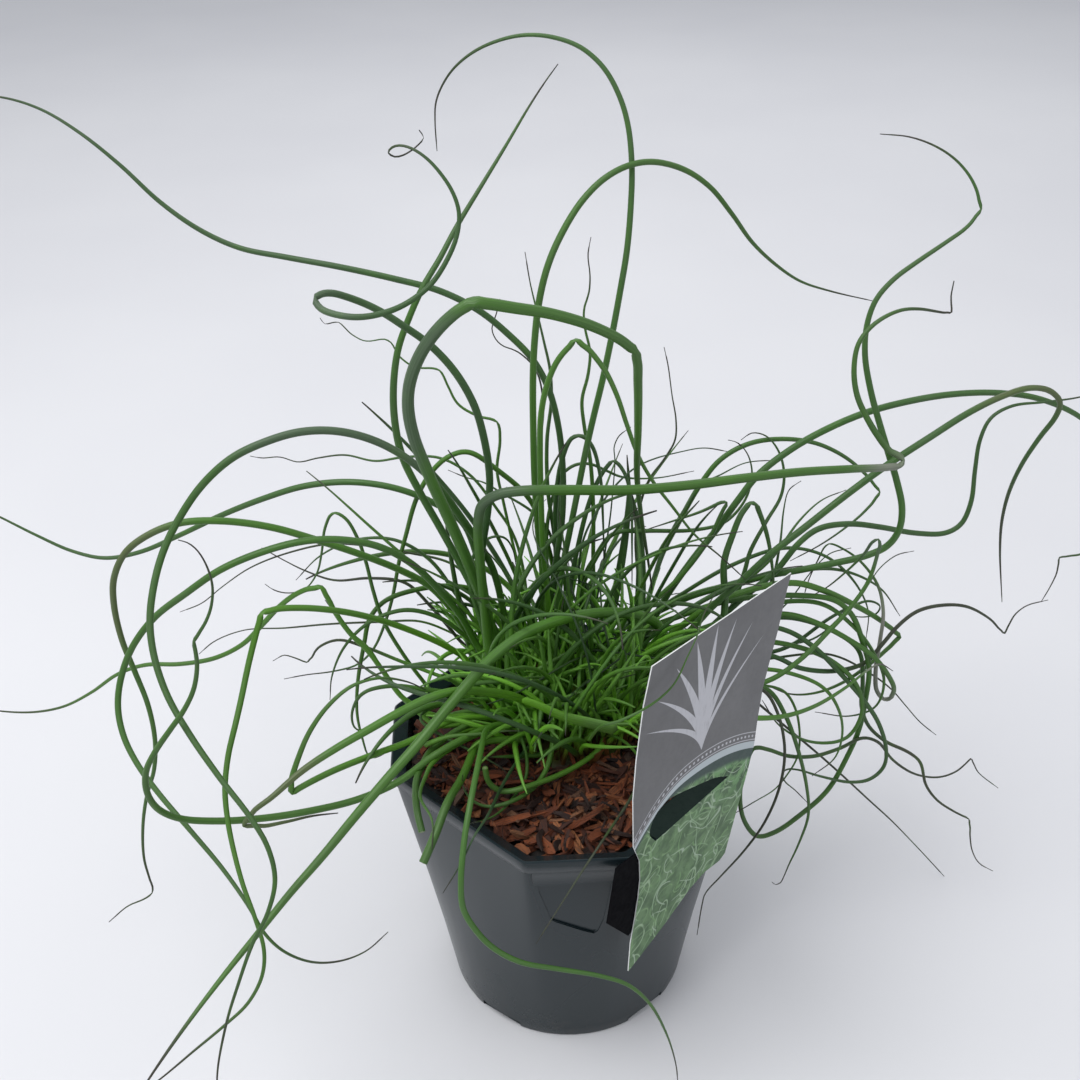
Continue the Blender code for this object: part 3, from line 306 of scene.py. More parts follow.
def finished(name, bm, material, smooth_below=None):
    """The mesh as an object of the plant: outward faces, a material, and smooth where its edges are soft."""
    bmesh.ops.recalc_face_normals(bm, faces=bm.faces)
    mesh = bpy.data.meshes.new(name)
    bm.to_mesh(mesh)
    bm.free()
    made = bpy.data.objects.new(name, mesh)
    bpy.context.scene.collection.objects.link(made)
    if material:
        mesh.materials.append(material)
    if smooth_below is not None:
        soften(mesh, smooth_below)
    return made


def hand_over(piece, node):
    """The piece rides on the model's one body in the place of its CAD node."""
    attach(piece, "root")
    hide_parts(node)


def shape_with(target, tools, smooth_below):
    """Cuts each tool out of the target for good, or joins it on."""
    for tool, operation in tools:
        change = target.modifiers.new(tool.name, "BOOLEAN")
        change.operation = operation
        change.object = tool
        change.solver = "EXACT"
    bpy.context.view_layer.update()
    cut = target.evaluated_get(bpy.context.evaluated_depsgraph_get())
    target.data = bpy.data.meshes.new_from_object(cut)
    target.modifiers.clear()
    soften(target.data, smooth_below)
    for tool, _ in tools:
        bpy.data.objects.remove(tool, do_unlink=True)


def pot_material():
    """Satin moulded plastic: even slate grey, painted shade in darker teal inside, faint scuffs, a little
    dust at the foot.
    """
    nodes = Nodes("pot_plastic", 0.27)
    place = nodes.coords()
    cloud = nodes.noise(place, 9.0, 2.0)
    dust_spots = nodes.noise(place, 210.0, 4.0, 0.65)
    scuffs = nodes.noise(nodes.stretch(place, (40.0, 40.0, 260.0)), 3.0, 2.0, 0.7)
    height = nodes.add("ShaderNodeSeparateXYZ", 2, Vector=place)
    colour = nodes.tinge(POT_SLATE, POT_CLOUD, cloud, 0.35, 0.70, 0.5)
    # Painted shade: the pot's inside, marked by the ledge attribute, turns a darker teal.
    colour = nodes.mix(nodes.attribute("ledge", "Fac"), colour, POT_INSIDE_SHADE)
    dust = nodes.times(nodes.band(height, 0.030, 0.0, 0.0, 0.30), nodes.band(dust_spots, 0.50, 0.75))
    colour = nodes.mix(dust, colour, POT_DUST)
    colour = nodes.tinge(colour, POT_SCUFF, scuffs, 0.70, 0.82, 0.10)
    roughness = nodes.plus(nodes.band(cloud, 0.3, 0.75, 0.23, 0.31), nodes.times(dust, 0.6))
    return nodes.done(Base_Color=colour, Roughness=roughness, Specular_IOR_Level=0.28,
                      Normal=nodes.bump(cloud, 0.0006, 0.5))


def pot_profile():
    """The pot's section from the middle of its foot, up the outside, over the rim and down the inside."""
    band_foot = POT_HEIGHT - RIM_BAND
    ledge = POT_HEIGHT - RIM_LEDGE_DROP
    wall = RIM_STEP + POT_WALL
    outside = [(0.0, 0.0040), (0.0, 0.0024), (0.0005, 0.0014), (0.0016, RIM_STEP), (0.008, RIM_STEP),
               (0.045, RIM_STEP), (0.085, RIM_STEP), (0.125, RIM_STEP), (band_foot - 0.0012, RIM_STEP),
               (band_foot, RIM_STEP), (band_foot + 0.0003, RIM_STEP * 0.4), (band_foot + 0.0009, 0.0),
               (POT_HEIGHT - 0.0014, 0.0), (POT_HEIGHT - 0.0005, 0.0002), (POT_HEIGHT, 0.0007)]
    inside = [(POT_HEIGHT, RIM_EDGE), (POT_HEIGHT - 0.0004, RIM_EDGE + 0.0004),
              (ledge + 0.0006, RIM_LEDGE - 0.0008), (ledge - 0.0002, RIM_LEDGE),
              (RIM_ROOT, RIM_LEDGE + RIM_LEDGE_LEAN), (RIM_ROOT - RIM_LEDGE, wall), (0.06, wall),
              (POT_FLOOR + 0.001, wall), (POT_FLOOR, wall + 0.0012)]
    return outside, inside


def make_pot():
    bm = bmesh.new()
    shade = bm.verts.layers.float.new("ledge")
    outside, inside = pot_profile()
    foot = [pot_level(bm, 0.0, outside[0][1], shrink) for shrink in (0.35, 0.7)]
    walls = [pot_level(bm, z, inset) for z, inset in outside + inside]
    floor = [pot_level(bm, POT_FLOOR, inside[-1][1], shrink) for shrink in (0.7, 0.35)]
    bridge_stack(bm, foot + walls + floor)
    for ring, height in ((foot[0], 0.0), (floor[-1], POT_FLOOR)):
        close_ring(bm, ring, bm.verts.new((0, 0, height)))
    # Marks the pot's inside, from just below the rim's edge, for its painted shade.
    for level in walls[len(outside) + 1:]:
        for vert in level:
            vert[shade] = 1.0
    pot = finished("plant_pot", bm, pot_material(), POT_SHARP_ANGLE)
    pocket = front_prism("pocket", POCKET_OUTLINE, POCKET_DEPTH, -CUTTER_REACH)
    slot = front_prism("slot", SLOT_OUTLINE, SLOT_DEPTH, -CUTTER_REACH)
    lip = front_prism("lip", LIP_OUTLINE, POT_WALL / 2, LIP_INSET - RIM_STEP)
    tools = [(cutter, "DIFFERENCE") for cutter in (foot_cutter(), pocket, slot)] + [(lip, "UNION")]
    shape_with(pot, tools, POT_SHARP_ANGLE)
    hand_over(pot, "pot")


def foot_cutter():
    """The notches in the foot's edge and the drainage holes, as one tool."""
    bm = bmesh.new()
    width, height = FOOT_NOTCH
    for degrees in FOOT_NOTCH_ANGLES:
        made = bmesh.ops.create_cube(bm, size=1.0)["verts"]
        bmesh.ops.scale(bm, verts=made, vec=(FOOT_NOTCH_REACH, width, 2 * height))
        bmesh.ops.translate(bm, verts=made, vec=(POT_FOOT_RADIUS + FOOT_NOTCH_OUT, 0, 0))
        turn = Matrix.Rotation(math.radians(degrees), 3, "Z")
        bmesh.ops.rotate(bm, verts=made, cent=(0, 0, 0), matrix=turn)
    for hole in range(DRAIN_COUNT):
        made = bmesh.ops.create_cone(bm, cap_ends=True, segments=DRAIN_SIDES, radius1=DRAIN_RADIUS,
                                     radius2=DRAIN_RADIUS, depth=DRAIN_LENGTH)["verts"]
        angle = 2 * math.pi * (hole + 0.5) / DRAIN_COUNT
        bmesh.ops.translate(bm, verts=made, vec=round_point(DRAIN_RING, angle))
    return finished("foot_cutter", bm, None)


def front_prism(name, outline, near, far):
    """A prism on the front corner face, in millimetres across it and up, from near to far inward of it."""
    bm = bmesh.new()
    loops = []
    for inward in (near, far):
        loop = []
        for across, up in outline:
            lean = RIM_STEP + (corner_distance() - POT_FOOT_RADIUS) * roundness_at(up * MM)
            loop.append(bm.verts.new((across * MM, lean - corner_distance() + inward, up * MM)))
        loops.append(loop)
    bridge_stack(bm, loops)
    bm.faces.new(loops[0])
    bm.faces.new(list(reversed(loops[1])))
    return finished(name, bm, None)


make_pot()

# Soil. The root ball of dark peat that fills the pot. Only crumbs of it show between the bark chips.
# The CAD solid stays as it is and takes this material.
SOIL_TOP = 0.1500
PEAT_DARK = (0.012, 0.008, 0.006)
PEAT_BROWN = (0.045, 0.027, 0.017)
PEAT_CRUMB = (0.10, 0.065, 0.04)


def soil_material():
    nodes = Nodes("potting_soil", 0.95)
    place = nodes.coords()
    crumbs = nodes.noise(place, 420.0, 6.0, 0.7)
    clumps = nodes.noise(place, 90.0, 3.0)
    colour = nodes.ramp(crumbs, (0.30, PEAT_DARK), (0.62, PEAT_BROWN), (0.85, PEAT_CRUMB))
    relief = nodes.bump(nodes.plus(crumbs, clumps), 0.0012, 0.9)
    return nodes.done(Base_Color=colour, Normal=relief)


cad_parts["soil"].data.materials.clear()
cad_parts["soil"].data.materials.append(soil_material())

# Bark mulch. Shredded reddish bark chips lie loose on the soil in a lumpy ring between the plant and the
# pot, heaped a little towards the left front.
GAP = 0.0004
MULCH_TOP = 0.1585
MULCH_LUMP = 0.0022
MULCH_MOUND = 0.0030
LUMP_RATE_ACROSS = 310
LUMP_RATE_DEEP = 270
LUMP_RATE_SLANT = 480
HEAP_CENTRE = (-0.055, -0.030)
HEAP_SPREAD = 0.035
MULCH_RINGS = 14
BED_DROP = 0.0045
BED_ROOM = 0.0003
CROWN_CENTRE = (0.0, 0.028)
CROWN_RADIUS = 0.050
CHIP_COUNT = 1450
CHIP_LENGTH = (0.007, 0.025)
CHIP_WIDTH = (0.0013, 0.0064)
CHIP_THICKNESS = (0.0009, 0.0026)
CHIP_SECTIONS = 6
CHIP_END = 0.22
CHIP_SINK = (-0.0042, 0.0008)
CHIP_FIELD = 0.088
CHIP_TRIES = 40
CHIP_INSIDE = 0.42
CHIP_POT_ROOM = 0.001
CHIP_CROWN_OVERLAP = 0.006
CHIP_TILT = 0.26
CHIP_ROLL = 0.55
CHIP_BOW = 0.10
CHIP_TEAR = (0.15, 0.9)
CHIP_SHARP_ANGLE = 50
CHIP_SEED = 5
BARK_DUST = (0.035, 0.020, 0.014)
BARK_GAP = (0.010, 0.004, 0.003)
BARK_SHADES = ((0.0, (0.014, 0.005, 0.003)), (0.22, (0.045, 0.012, 0.005)), (0.48, (0.115, 0.027, 0.008)),
               (0.72, (0.235, 0.058, 0.015)), (0.90, (0.330, 0.125, 0.045)), (1.0, (0.100, 0.060, 0.040)))


def mulch_height(x, y):
    broad = math.sin(x * LUMP_RATE_ACROSS + 1.3) * math.cos(y * LUMP_RATE_DEEP - 0.4)
    small = math.sin((x + y) * LUMP_RATE_SLANT + 0.8)
    heap = math.exp(-((x - HEAP_CENTRE[0]) ** 2 + (y - HEAP_CENTRE[1]) ** 2) / HEAP_SPREAD ** 2)
    return MULCH_TOP + MULCH_LUMP * (0.6 * broad + 0.36 * small) + MULCH_MOUND * heap


def mulch_edge(angle, height):
    """How far the mulch reaches in this direction, just inside the pot's ledge."""
    inset = RIM_LEDGE + RIM_LEDGE_LEAN + GAP
    return wall_reach(rim_reach(angle, inset), inset, height)


def add_mulch_bed(bm, tone):
    """The lumpy bed of fines under the chips."""
    angles = pot_angles(0.0)
    levels = []
    for ring in range(MULCH_RINGS):
        share = ring / (MULCH_RINGS - 1)
        level = []
        for angle in angles:
            edge = round_point(mulch_edge(angle, MULCH_TOP - MULCH_LUMP) - BED_ROOM, angle)
            from_crown = round_point(CROWN_RADIUS + GAP, angle)
            x, y = (edge[i] * (1 - share) + (CROWN_CENTRE[i] + from_crown[i]) * share for i in range(2))
            level.append(bm.verts.new((x, y, mulch_height(x, y) - BED_DROP)))
        levels.append(level)
    low = SOIL_TOP + GAP
    outer = [bm.verts.new(round_point(mulch_edge(angle, SOIL_TOP), angle, low)) for angle in angles]
    inner = [bm.verts.new((vert.co.x, vert.co.y, low)) for vert in levels[-1]]
    bridge_stack(bm, [inner, outer] + levels + [inner])
    for vert in bm.verts:
        vert[tone] = -1.0


def chip_place(chance):
    """A spot on the bed and a length that fits there, or nothing if no try finds one."""
    for _ in range(CHIP_TRIES):
        x, y = chance.uniform(-CHIP_FIELD, CHIP_FIELD, 2)
        length = chance.uniform(*CHIP_LENGTH)
        from_crown = math.hypot(x - CROWN_CENTRE[0], y - CROWN_CENTRE[1])
        edge = mulch_edge(math.atan2(y, x), MULCH_TOP) - CHIP_INSIDE * length - CHIP_POT_ROOM
        if math.hypot(x, y) < edge and from_crown > CROWN_RADIUS - CHIP_CROWN_OVERLAP:
            return x, y, length
    return None


def add_chip(bm, tone, grain, chance):
    """One chip: a flat splinter with torn ends, at its own angle on the bed."""
    place = chip_place(chance)
    if place is None:
        return
    x, y, length = place
    width = CHIP_WIDTH[0] + (CHIP_WIDTH[1] - CHIP_WIDTH[0]) * chance.uniform() ** 2.2
    thick = chance.uniform(*CHIP_THICKNESS)
    shade = chance.uniform()
    turn = Matrix.Translation((x, y, mulch_height(x, y) + chance.uniform(*CHIP_SINK)))
    for angle, axis in ((chance.uniform(0, 2 * math.pi), "Z"), (chance.normal(0, CHIP_TILT), "Y"),
                        (chance.normal(0, CHIP_ROLL), "X")):
        turn = turn @ Matrix.Rotation(angle, 4, axis)
    bow = chance.normal(0, CHIP_BOW) * length
    torn = chance.uniform(*CHIP_TEAR, 2)
    rings = []
    for section in range(CHIP_SECTIONS):
        share = section / (CHIP_SECTIONS - 1)
        end = min(share / CHIP_END, (1 - share) / CHIP_END, 1.0)
        taper = torn[0] if share < 0.5 else torn[1]
        half = width / 2 * (taper + (1 - taper) * end) * chance.uniform(0.85, 1.1)
        deep = thick / 2 * (0.45 + 0.55 * end) * chance.uniform(0.8, 1.15)
        along = (share - 0.5) * length
        side = bow * 4 * share * (1 - share) + chance.normal(0, 0.03) * width
        corners = [(half, deep), (-half * 0.9, deep * 1.1), (-half, -deep), (half * 0.8, -deep)]
        rings.append([bm.verts.new(turn @ Vector((along + chance.normal(0, 0.02) * length, side + a, b)))
                      for a, b in corners])
        for vert in rings[-1]:
            vert[tone] = shade
    faces = [bm.faces.new(list(reversed(rings[0]))), bm.faces.new(rings[-1])] + bridge_stack(bm, rings)
    back = turn.inverted()
    for face in faces:
        for loop in face.loops:
            local = back @ loop.vert.co
            loop[grain].uv = (local.x + shade, local.y * 3 + local.z * 5 + shade * 7)


def bark_material():
    nodes = Nodes("bark_chips", 0.80)
    tone = nodes.attribute("tone", "Fac")
    fibre = nodes.noise(nodes.stretch(nodes.coords("UV"), (70.0, 800.0, 1.0)), 1.0, 4.0, 0.6)
    crumbs = nodes.noise(nodes.coords(), 600.0, 4.0, 0.7)
    chip = nodes.ramp(tone, *BARK_SHADES)
    chip = nodes.tinge(nodes.mix(0.72, chip, BARK_GAP), chip, fibre, 0.36, 0.58)
    chip = nodes.tinge(chip, BARK_DUST, crumbs, 0.62, 0.76, 0.40)
    bed = nodes.ramp(crumbs, (0.3, (0.006, 0.004, 0.003)), (0.7, PEAT_DARK))
    colour = nodes.tinge(bed, chip, tone, -0.6, -0.2)
    height = nodes.plus(nodes.times(fibre, 0.8), nodes.times(crumbs, 0.5))
    return nodes.done(Base_Color=colour, Roughness=nodes.band(fibre, 0.3, 0.7, 0.58, 0.88),
                      Normal=nodes.bump(height, 0.0008, 0.9))


def make_mulch():
    bm = bmesh.new()
    tone = bm.verts.layers.float.new("tone")
    grain = bm.loops.layers.uv.new("grain")
    add_mulch_bed(bm, tone)
    chance = np.random.RandomState(CHIP_SEED)
    for _ in range(CHIP_COUNT):
        add_chip(bm, tone, grain, chance)
    hand_over(finished("bark_mulch", bm, bark_material(), CHIP_SHARP_ANGLE), "mulch")


make_mulch()

# Stems. Smooth round leafless stems, the spiral form of soft rush: some arch, some curl, and some are
# folded where they were bent over. Each grows from the crown. A row is the girth in mm and the route's
# points: column and row in the camera's view and, at some, how far behind the pot's axis it is in mm.
STEMS = {
    "far_left_high": (3.5, (550, 600, 62), (556, 560), (562, 520), (563, 475), (559, 430), (549, 390),
        (533, 360), (508, 334), (478, 310), (440, 291), (395, 279), (340, 267, 110), (285, 257), (240, 248),
        (200, 230), (160, 202), (120, 165), (80, 133), (40, 109), (0, 97, 165), (-40, 96), (-72, 110, 172)),
    "curl_tip": (3.8, (481, 608, 40), (479, 575), (482, 545), (487, 512), (489, 478), (484, 440),
        (474, 405), (455, 372), (430, 345), (405, 327), (378, 310), (350, 298), (328, 293, 12),
        (315, 298, 0), (320, 308, -8), (338, 315), (362, 317, -14), (390, 311), (412, 300), (432, 283),
        (448, 258), (457, 235), (459, 213, 6), (453, 193), (441, 174), (425, 157), (408, 147),
        (395, 146, 22), (388, 152, 26), (396, 157, 31), (409, 152), (419, 144), (424, 136), (419, 130, 36)),
    "spear": (3.9, (490, 628, 34), (475, 598), (459, 565), (440, 528), (420, 490), (404, 455), (396, 420),
        (394, 385), (398, 350), (409, 318), (423, 287, 58), (440, 258), (457, 226), (480, 188), (505, 147),
        (530, 105), (545, 82), (558, 64, 112)),
    "thick_arch": (5.8, (490, 600, 26), (470, 555), (450, 515), (430, 476), (414, 438), (408, 405),
        (411, 378), (424, 348), (447, 320), (470, 304, -14), (480, 303), (515, 308), (552, 314), (592, 326),
        (625, 343), (636, 356), (638, 385, 6), (638, 430), (637, 475), (641, 515), (648, 560),
        (652, 590, 48)),
    "top_loop": (3.4, (557, 610, 52), (562, 570), (570, 530), (577, 495), (586, 450), (594, 415),
        (603, 378), (612, 335), (620, 292), (627, 250, 84), (631, 205), (632, 165), (628, 125), (619, 95),
        (603, 67), (580, 47), (552, 37, 122), (525, 35), (500, 40), (475, 51), (455, 67), (443, 84),
        (436, 102), (435, 120), (437, 151, 150)),
    "right_arch": (3.6, (540, 612, 60), (540, 570), (536, 530), (533, 480), (532, 430), (532, 380),
        (534, 340), (539, 300), (548, 265, 74), (562, 233), (582, 201), (605, 178), (630, 165), (655, 162),
        (685, 170), (710, 187), (732, 214, 112), (752, 242), (775, 264), (800, 281), (830, 291),
        (873, 301, 160)),
    "upright_left": (2.4, (553, 600, 78), (552, 540), (546, 490), (546, 440), (551, 400), (550, 370),
        (544, 342), (537, 312), (530, 282), (525, 252, 96)),
    "upright_wavy": (2.4, (594, 610, 72), (593, 560), (593, 510), (590, 460), (584, 425), (582, 400),
        (588, 375), (590, 352), (585, 328), (584, 310), (589, 292), (590, 275), (588, 255), (591, 237, 108)),
    "bent_over": (3.2, (548, 600, 44), (543, 550), (541, 500), (540, 450), (541, 415), (547, 385),
        (558, 360), (572, 345), (580, 343, 40), (602, 366), (616, 393), (627, 425), (638, 455), (652, 480),
        (672, 506), (695, 535), (720, 556), (746, 580, 12)),
    "right_tall": (3.8, (662, 610, 70), (690, 597), (730, 585), (765, 576), (800, 570), (835, 563),
        (865, 556), (887, 546), (899, 530, 62), (902, 508), (897, 482), (889, 455), (880, 425), (871, 392),
        (865, 355), (867, 325), (876, 300), (893, 280), (917, 262), (945, 243), (967, 227, 92), (977, 214),
        (979, 200), (972, 180), (957, 161), (937, 147), (910, 137), (880, 134, 122)),
    "level": (5.0, (484, 605, 22), (480, 560), (478, 525), (482, 505), (497, 495), (520, 491, 0),
        (570, 490), (630, 490), (690, 485), (745, 478), (800, 472), (850, 469, 22), (890, 467),
        (903, 464, 27), (901, 457, 33), (891, 452), (880, 439), (867, 418), (857, 395), (854, 370),
        (858, 345), (868, 330), (883, 318), (902, 310), (920, 309, 62), (940, 312), (953, 313), (951, 298),
        (954, 281, 84)),
    "right_return": (3.8, (658, 650, 45), (685, 632), (712, 604), (740, 580), (770, 553, 44), (805, 526),
        (845, 495), (885, 466), (930, 437), (970, 412), (1003, 396), (1030, 388, 82), (1050, 391),
        (1060, 402), (1056, 416), (1040, 437), (1022, 464), (1009, 492), (1002, 520), (1000, 550),
        (1002, 602, 112)),
    "right_long": (3.8, (650, 630, 62), (668, 595), (692, 560), (716, 530), (738, 500), (758, 475),
        (790, 450), (825, 430), (865, 413), (910, 401, 92), (955, 394), (1000, 393), (1040, 399),
        (1080, 417, 112), (1106, 443), (1116, 480), (1110, 518), (1096, 545), (1078, 555, 122), (1060, 557),
        (1057, 572), (1050, 587), (1041, 602, 126)),
    "right_hoop": (3.0, (648, 600, 80), (662, 555), (680, 520), (700, 485), (720, 460), (748, 444),
        (780, 439), (815, 443, 100), (845, 457), (868, 477), (878, 493), (866, 510), (845, 528), (820, 545),
        (790, 561, 72)),
    "right_step": (3.4, (690, 645, 52), (740, 600), (775, 572), (800, 543), (820, 529), (850, 524),
        (880, 527), (915, 533), (945, 533), (961, 524), (971, 502), (975, 470), (980, 440), (991, 418),
        (1012, 406, 96), (1045, 402), (1080, 397), (1115, 386, 116)),
    "right_hook": (2.8, (662, 662, 40), (720, 650), (775, 657, 35), (800, 668), (835, 671), (865, 663),
        (882, 645), (898, 626), (918, 611), (945, 605, 74), (968, 607), (990, 619), (1005, 633),
        (1013, 617), (1026, 606), (1048, 600, 92)),
    "right_fold": (3.6, (667, 640, 56), (720, 600), (790, 582, 52), (825, 590), (858, 606), (885, 623),
        (899, 637, 76), (886, 651), (866, 667), (842, 683), (815, 693), (790, 694), (768, 686, 44)),
    "right_coil": (3.2, (664, 622, 60), (730, 600), (800, 595), (835, 600), (852, 615), (862, 640),
        (869, 668, 52), (866, 700), (860, 730), (848, 757), (828, 790), (800, 815), (775, 832),
        (757, 836, 14), (744, 820), (740, 795), (745, 770), (755, 749), (768, 750, 24), (790, 757),
        (815, 757), (840, 748), (862, 737), (878, 742), (893, 760), (915, 774, 50), (940, 777), (960, 769),
        (970, 758), (978, 772), (998, 788, 62)),
    "right_wander": (2.8, (664, 644, 64), (730, 628), (790, 618, 66), (835, 632), (858, 650),
        (862, 680, 60), (861, 705), (868, 725), (885, 741), (908, 752), (920, 762), (926, 785), (937, 800),
        (955, 812), (969, 819), (970, 835), (972, 850), (979, 863), (993, 871, 16)),
    "right_pocket": (3.0, (665, 655, 46), (730, 625, 50), (785, 630), (815, 648), (840, 673), (862, 698),
        (878, 722), (886, 748), (884, 766, 36), (870, 779), (850, 782), (820, 776), (795, 769), (783, 770),
        (783, 779), (795, 790), (808, 803, 18)),
    "right_ring": (3.2, (662, 648, 58), (720, 622), (785, 614), (815, 622), (845, 637), (872, 655),
        (888, 675, 48), (894, 690), (887, 700), (877, 692), (875, 670), (879, 640), (882, 612), (877, 585),
        (862, 563), (845, 550), (828, 544, 88), (818, 560), (808, 582), (803, 600, 72)),
    "right_spur": (3.0, (660, 668, 30), (715, 690, 20), (765, 683, 22), (800, 660), (828, 632), (850, 608),
        (868, 582), (877, 556), (880, 540), (874, 541), (864, 555), (848, 572), (828, 589), (808, 600, 62)),
    "right_sag": (3.0, (655, 690, 12), (700, 712, -6), (755, 718, -6), (785, 716), (815, 706), (845, 688),
        (868, 670, 40), (880, 664), (893, 671, 46)),
    "right_dark": (1.9, (668, 676, 18), (720, 676), (763, 690, 22), (777, 712), (784, 740), (784, 765),
        (777, 795), (763, 825), (743, 852, -2), (720, 877), (705, 894, -36), (702, 905), (697, 935, -44)),
    "right_drop": (2.8, (668, 668, 30), (720, 675), (768, 690, 34), (785, 715), (797, 748), (806, 785),
        (808, 815), (800, 840), (790, 862), (778, 885), (772, 882, 8)),
    "left_drop": (3.9, (484, 560, 40), (470, 533), (452, 505), (430, 478), (402, 455), (370, 439),
        (335, 431), (300, 432), (265, 442), (232, 458), (203, 484), (180, 517, 8), (163, 552), (153, 590),
        (150, 625), (155, 660), (168, 697), (190, 735), (220, 778), (250, 817), (268, 848, -112),
        (275, 880), (268, 912), (252, 945), (238, 985), (226, 1025), (217, 1080, -166), (222, 1120, -172)),
    "left_wave": (3.5, (480, 560, 56), (462, 522), (432, 502), (395, 488), (350, 482), (305, 486),
        (265, 498), (222, 515), (180, 535), (140, 552), (105, 558), (72, 551), (38, 536), (0, 517, 92),
        (-35, 500), (-62, 493, 100)),
    "left_hang": (3.7, (466, 632, 46), (448, 605), (428, 585), (400, 570), (365, 556), (320, 541),
        (270, 527), (222, 521), (180, 523), (148, 535), (125, 553), (114, 578), (114, 605), (122, 640, 12),
        (135, 672), (148, 705), (155, 740), (154, 770), (147, 795), (143, 825), (144, 858), (150, 880),
        (153, 891), (146, 898), (128, 906), (109, 922, -40)),
    "left_sweep": (3.7, (472, 642, 34), (458, 615), (438, 589), (412, 564), (380, 547), (345, 540),
        (305, 541), (262, 552), (220, 570), (185, 594), (155, 617), (133, 646), (121, 678, 0), (118, 708),
        (124, 737), (138, 765), (160, 795), (190, 830), (222, 868), (248, 905), (265, 934, -104),
        (285, 952), (312, 962), (340, 961), (366, 951), (388, 932, -92)),
    "left_corner": (3.3, (462, 655, 28), (440, 643), (412, 631), (380, 620), (345, 612), (305, 608),
        (272, 610), (261, 616), (257, 630), (249, 662, -22), (241, 700), (236, 722), (228, 757), (225, 790),
        (228, 822), (234, 852), (243, 885), (255, 918), (264, 950, -124), (262, 976), (248, 1003),
        (225, 1025), (195, 1050), (155, 1083, -172), (120, 1106, -178)),
    "front_thick": (5.6, (672, 645, 48), (655, 624), (630, 614), (600, 613), (568, 619), (535, 632),
        (505, 650), (478, 672, -28), (450, 703), (420, 740), (392, 772), (358, 812), (322, 856), (290, 893),
        (258, 933, -126), (228, 970), (195, 1013), (165, 1055), (135, 1100, -192)),
    "front_folded": (4.4, (540, 712, -2), (518, 698), (488, 692), (455, 692, -34), (428, 699), (400, 712),
        (368, 730), (335, 749), (302, 771), (272, 797), (252, 813), (249, 822, -88), (260, 826), (285, 822),
        (312, 816), (338, 813, -72)),
    "left_tent": (3.4, (440, 725, -14), (410, 741), (375, 754), (335, 770), (305, 785), (292, 793, -62),
        (291, 783), (299, 756), (310, 731), (328, 706), (352, 686), (380, 678), (408, 682), (426, 690, -24)),
    "left_low": (3.7, (430, 760, -34), (400, 782), (360, 799), (315, 810), (265, 818), (215, 821),
        (178, 818), (157, 808), (147, 792, -72), (146, 772), (155, 752), (170, 730), (184, 710), (194, 688),
        (197, 662), (193, 641), (203, 627), (211, 607), (212, 583), (202, 557), (190, 544), (178, 540, -58)),
    "left_far": (2.9, (425, 712, 0), (402, 697), (385, 674), (368, 651), (350, 633), (335, 612), (324, 592),
        (314, 588), (298, 593), (280, 606), (262, 625), (243, 644), (215, 658), (180, 664), (145, 665),
        (118, 674), (92, 692), (65, 706), (35, 712), (0, 711, 62), (-30, 705), (-55, 692, 62)),
    "left_loop": (2.2, (430, 690, 30), (405, 657), (383, 620), (373, 590), (366, 562), (357, 537),
        (345, 518), (333, 513), (325, 528), (322, 550), (317, 573), (305, 589), (288, 593), (274, 590),
        (265, 584, 62)),
    "left_return": (2.9, (560, 600, 86), (548, 545), (530, 500), (500, 472), (468, 452), (448, 457),
        (430, 474), (416, 500), (406, 535), (399, 562), (393, 595), (386, 620), (374, 648), (358, 664),
        (335, 671), (305, 675), (284, 679, 44)),
    "left_hoop": (3.0, (512, 620, 72), (480, 592), (450, 586), (415, 590), (385, 601), (370, 618),
        (364, 645), (358, 680), (357, 712), (362, 737), (370, 757), (380, 756), (391, 748, 8)),
    "left_ripple": (1.8, (505, 520, 92), (470, 475), (440, 458), (405, 457), (375, 461), (345, 455),
        (318, 458), (298, 462), (280, 457), (262, 458), (250, 456, 130)),
    "left_stair": (1.8, (512, 540, 82), (503, 500), (497, 470), (500, 440), (497, 422), (478, 416),
        (458, 404), (447, 384), (439, 370), (415, 367), (400, 357), (388, 340), (365, 341), (350, 333),
        (338, 322), (325, 324), (320, 318, 122)),
    "over_front": (3.1, (484, 735, -32), (478, 765, -58), (471, 800, -79), (465, 835, -92),
        (461, 880, -105), (463, 908), (474, 928), (492, 947), (520, 962, -118), (558, 969), (600, 976),
        (628, 985, -112), (650, 1004), (667, 1035), (676, 1065, -112), (678, 1085, -118)),
    "front_needle": (1.6, (642, 775, -52), (632, 796, -66), (603, 840, -92), (585, 867, -103),
        (560, 906, -116), (536, 944, -126)),
    "front_hook_right": (3.0, (600, 722, 2), (601, 745), (592, 768), (575, 788), (550, 800),
        (525, 803, -46), (503, 799), (489, 785), (485, 768, -48)),
    "front_hook_left": (2.8, (553, 722, -8), (552, 748), (545, 772), (530, 792), (508, 805, -54),
        (485, 808), (470, 800), (462, 787), (461, 775, -50)),
    "cut_long": (4.2, (474, 748, -20), (463, 776, -44), (448, 803, -70), (436, 833, -84), (423, 863, -94)),
    "cut_short": (3.6, (425, 757, -24), (416, 778, -42), (415, 795, -56), (417, 812, -66), (422, 832, -74)),
    "front_strand": (2.0, (500, 690, 10), (512, 715), (522, 742), (527, 768), (525, 790, -34), (512, 806),
        (492, 819), (468, 824, -80)),
    "past_label": (1.5, (590, 740, -40), (600, 727, -92), (620, 721, -102), (644, 710, -99), (660, 699),
        (675, 683, -84), (687, 658), (697, 636, -70), (704, 614, -60), (716, 592, -50)),
    "left_thin_high": (1.4, (480, 600, 62), (455, 566), (405, 552), (370, 546), (330, 544), (290, 553),
        (250, 568), (222, 587), (202, 603), (180, 612, 92)),
    "left_thin_low": (1.4, (460, 640, 62), (420, 622), (380, 622), (330, 624), (285, 628), (245, 630),
        (215, 641), (199, 654, 82)),
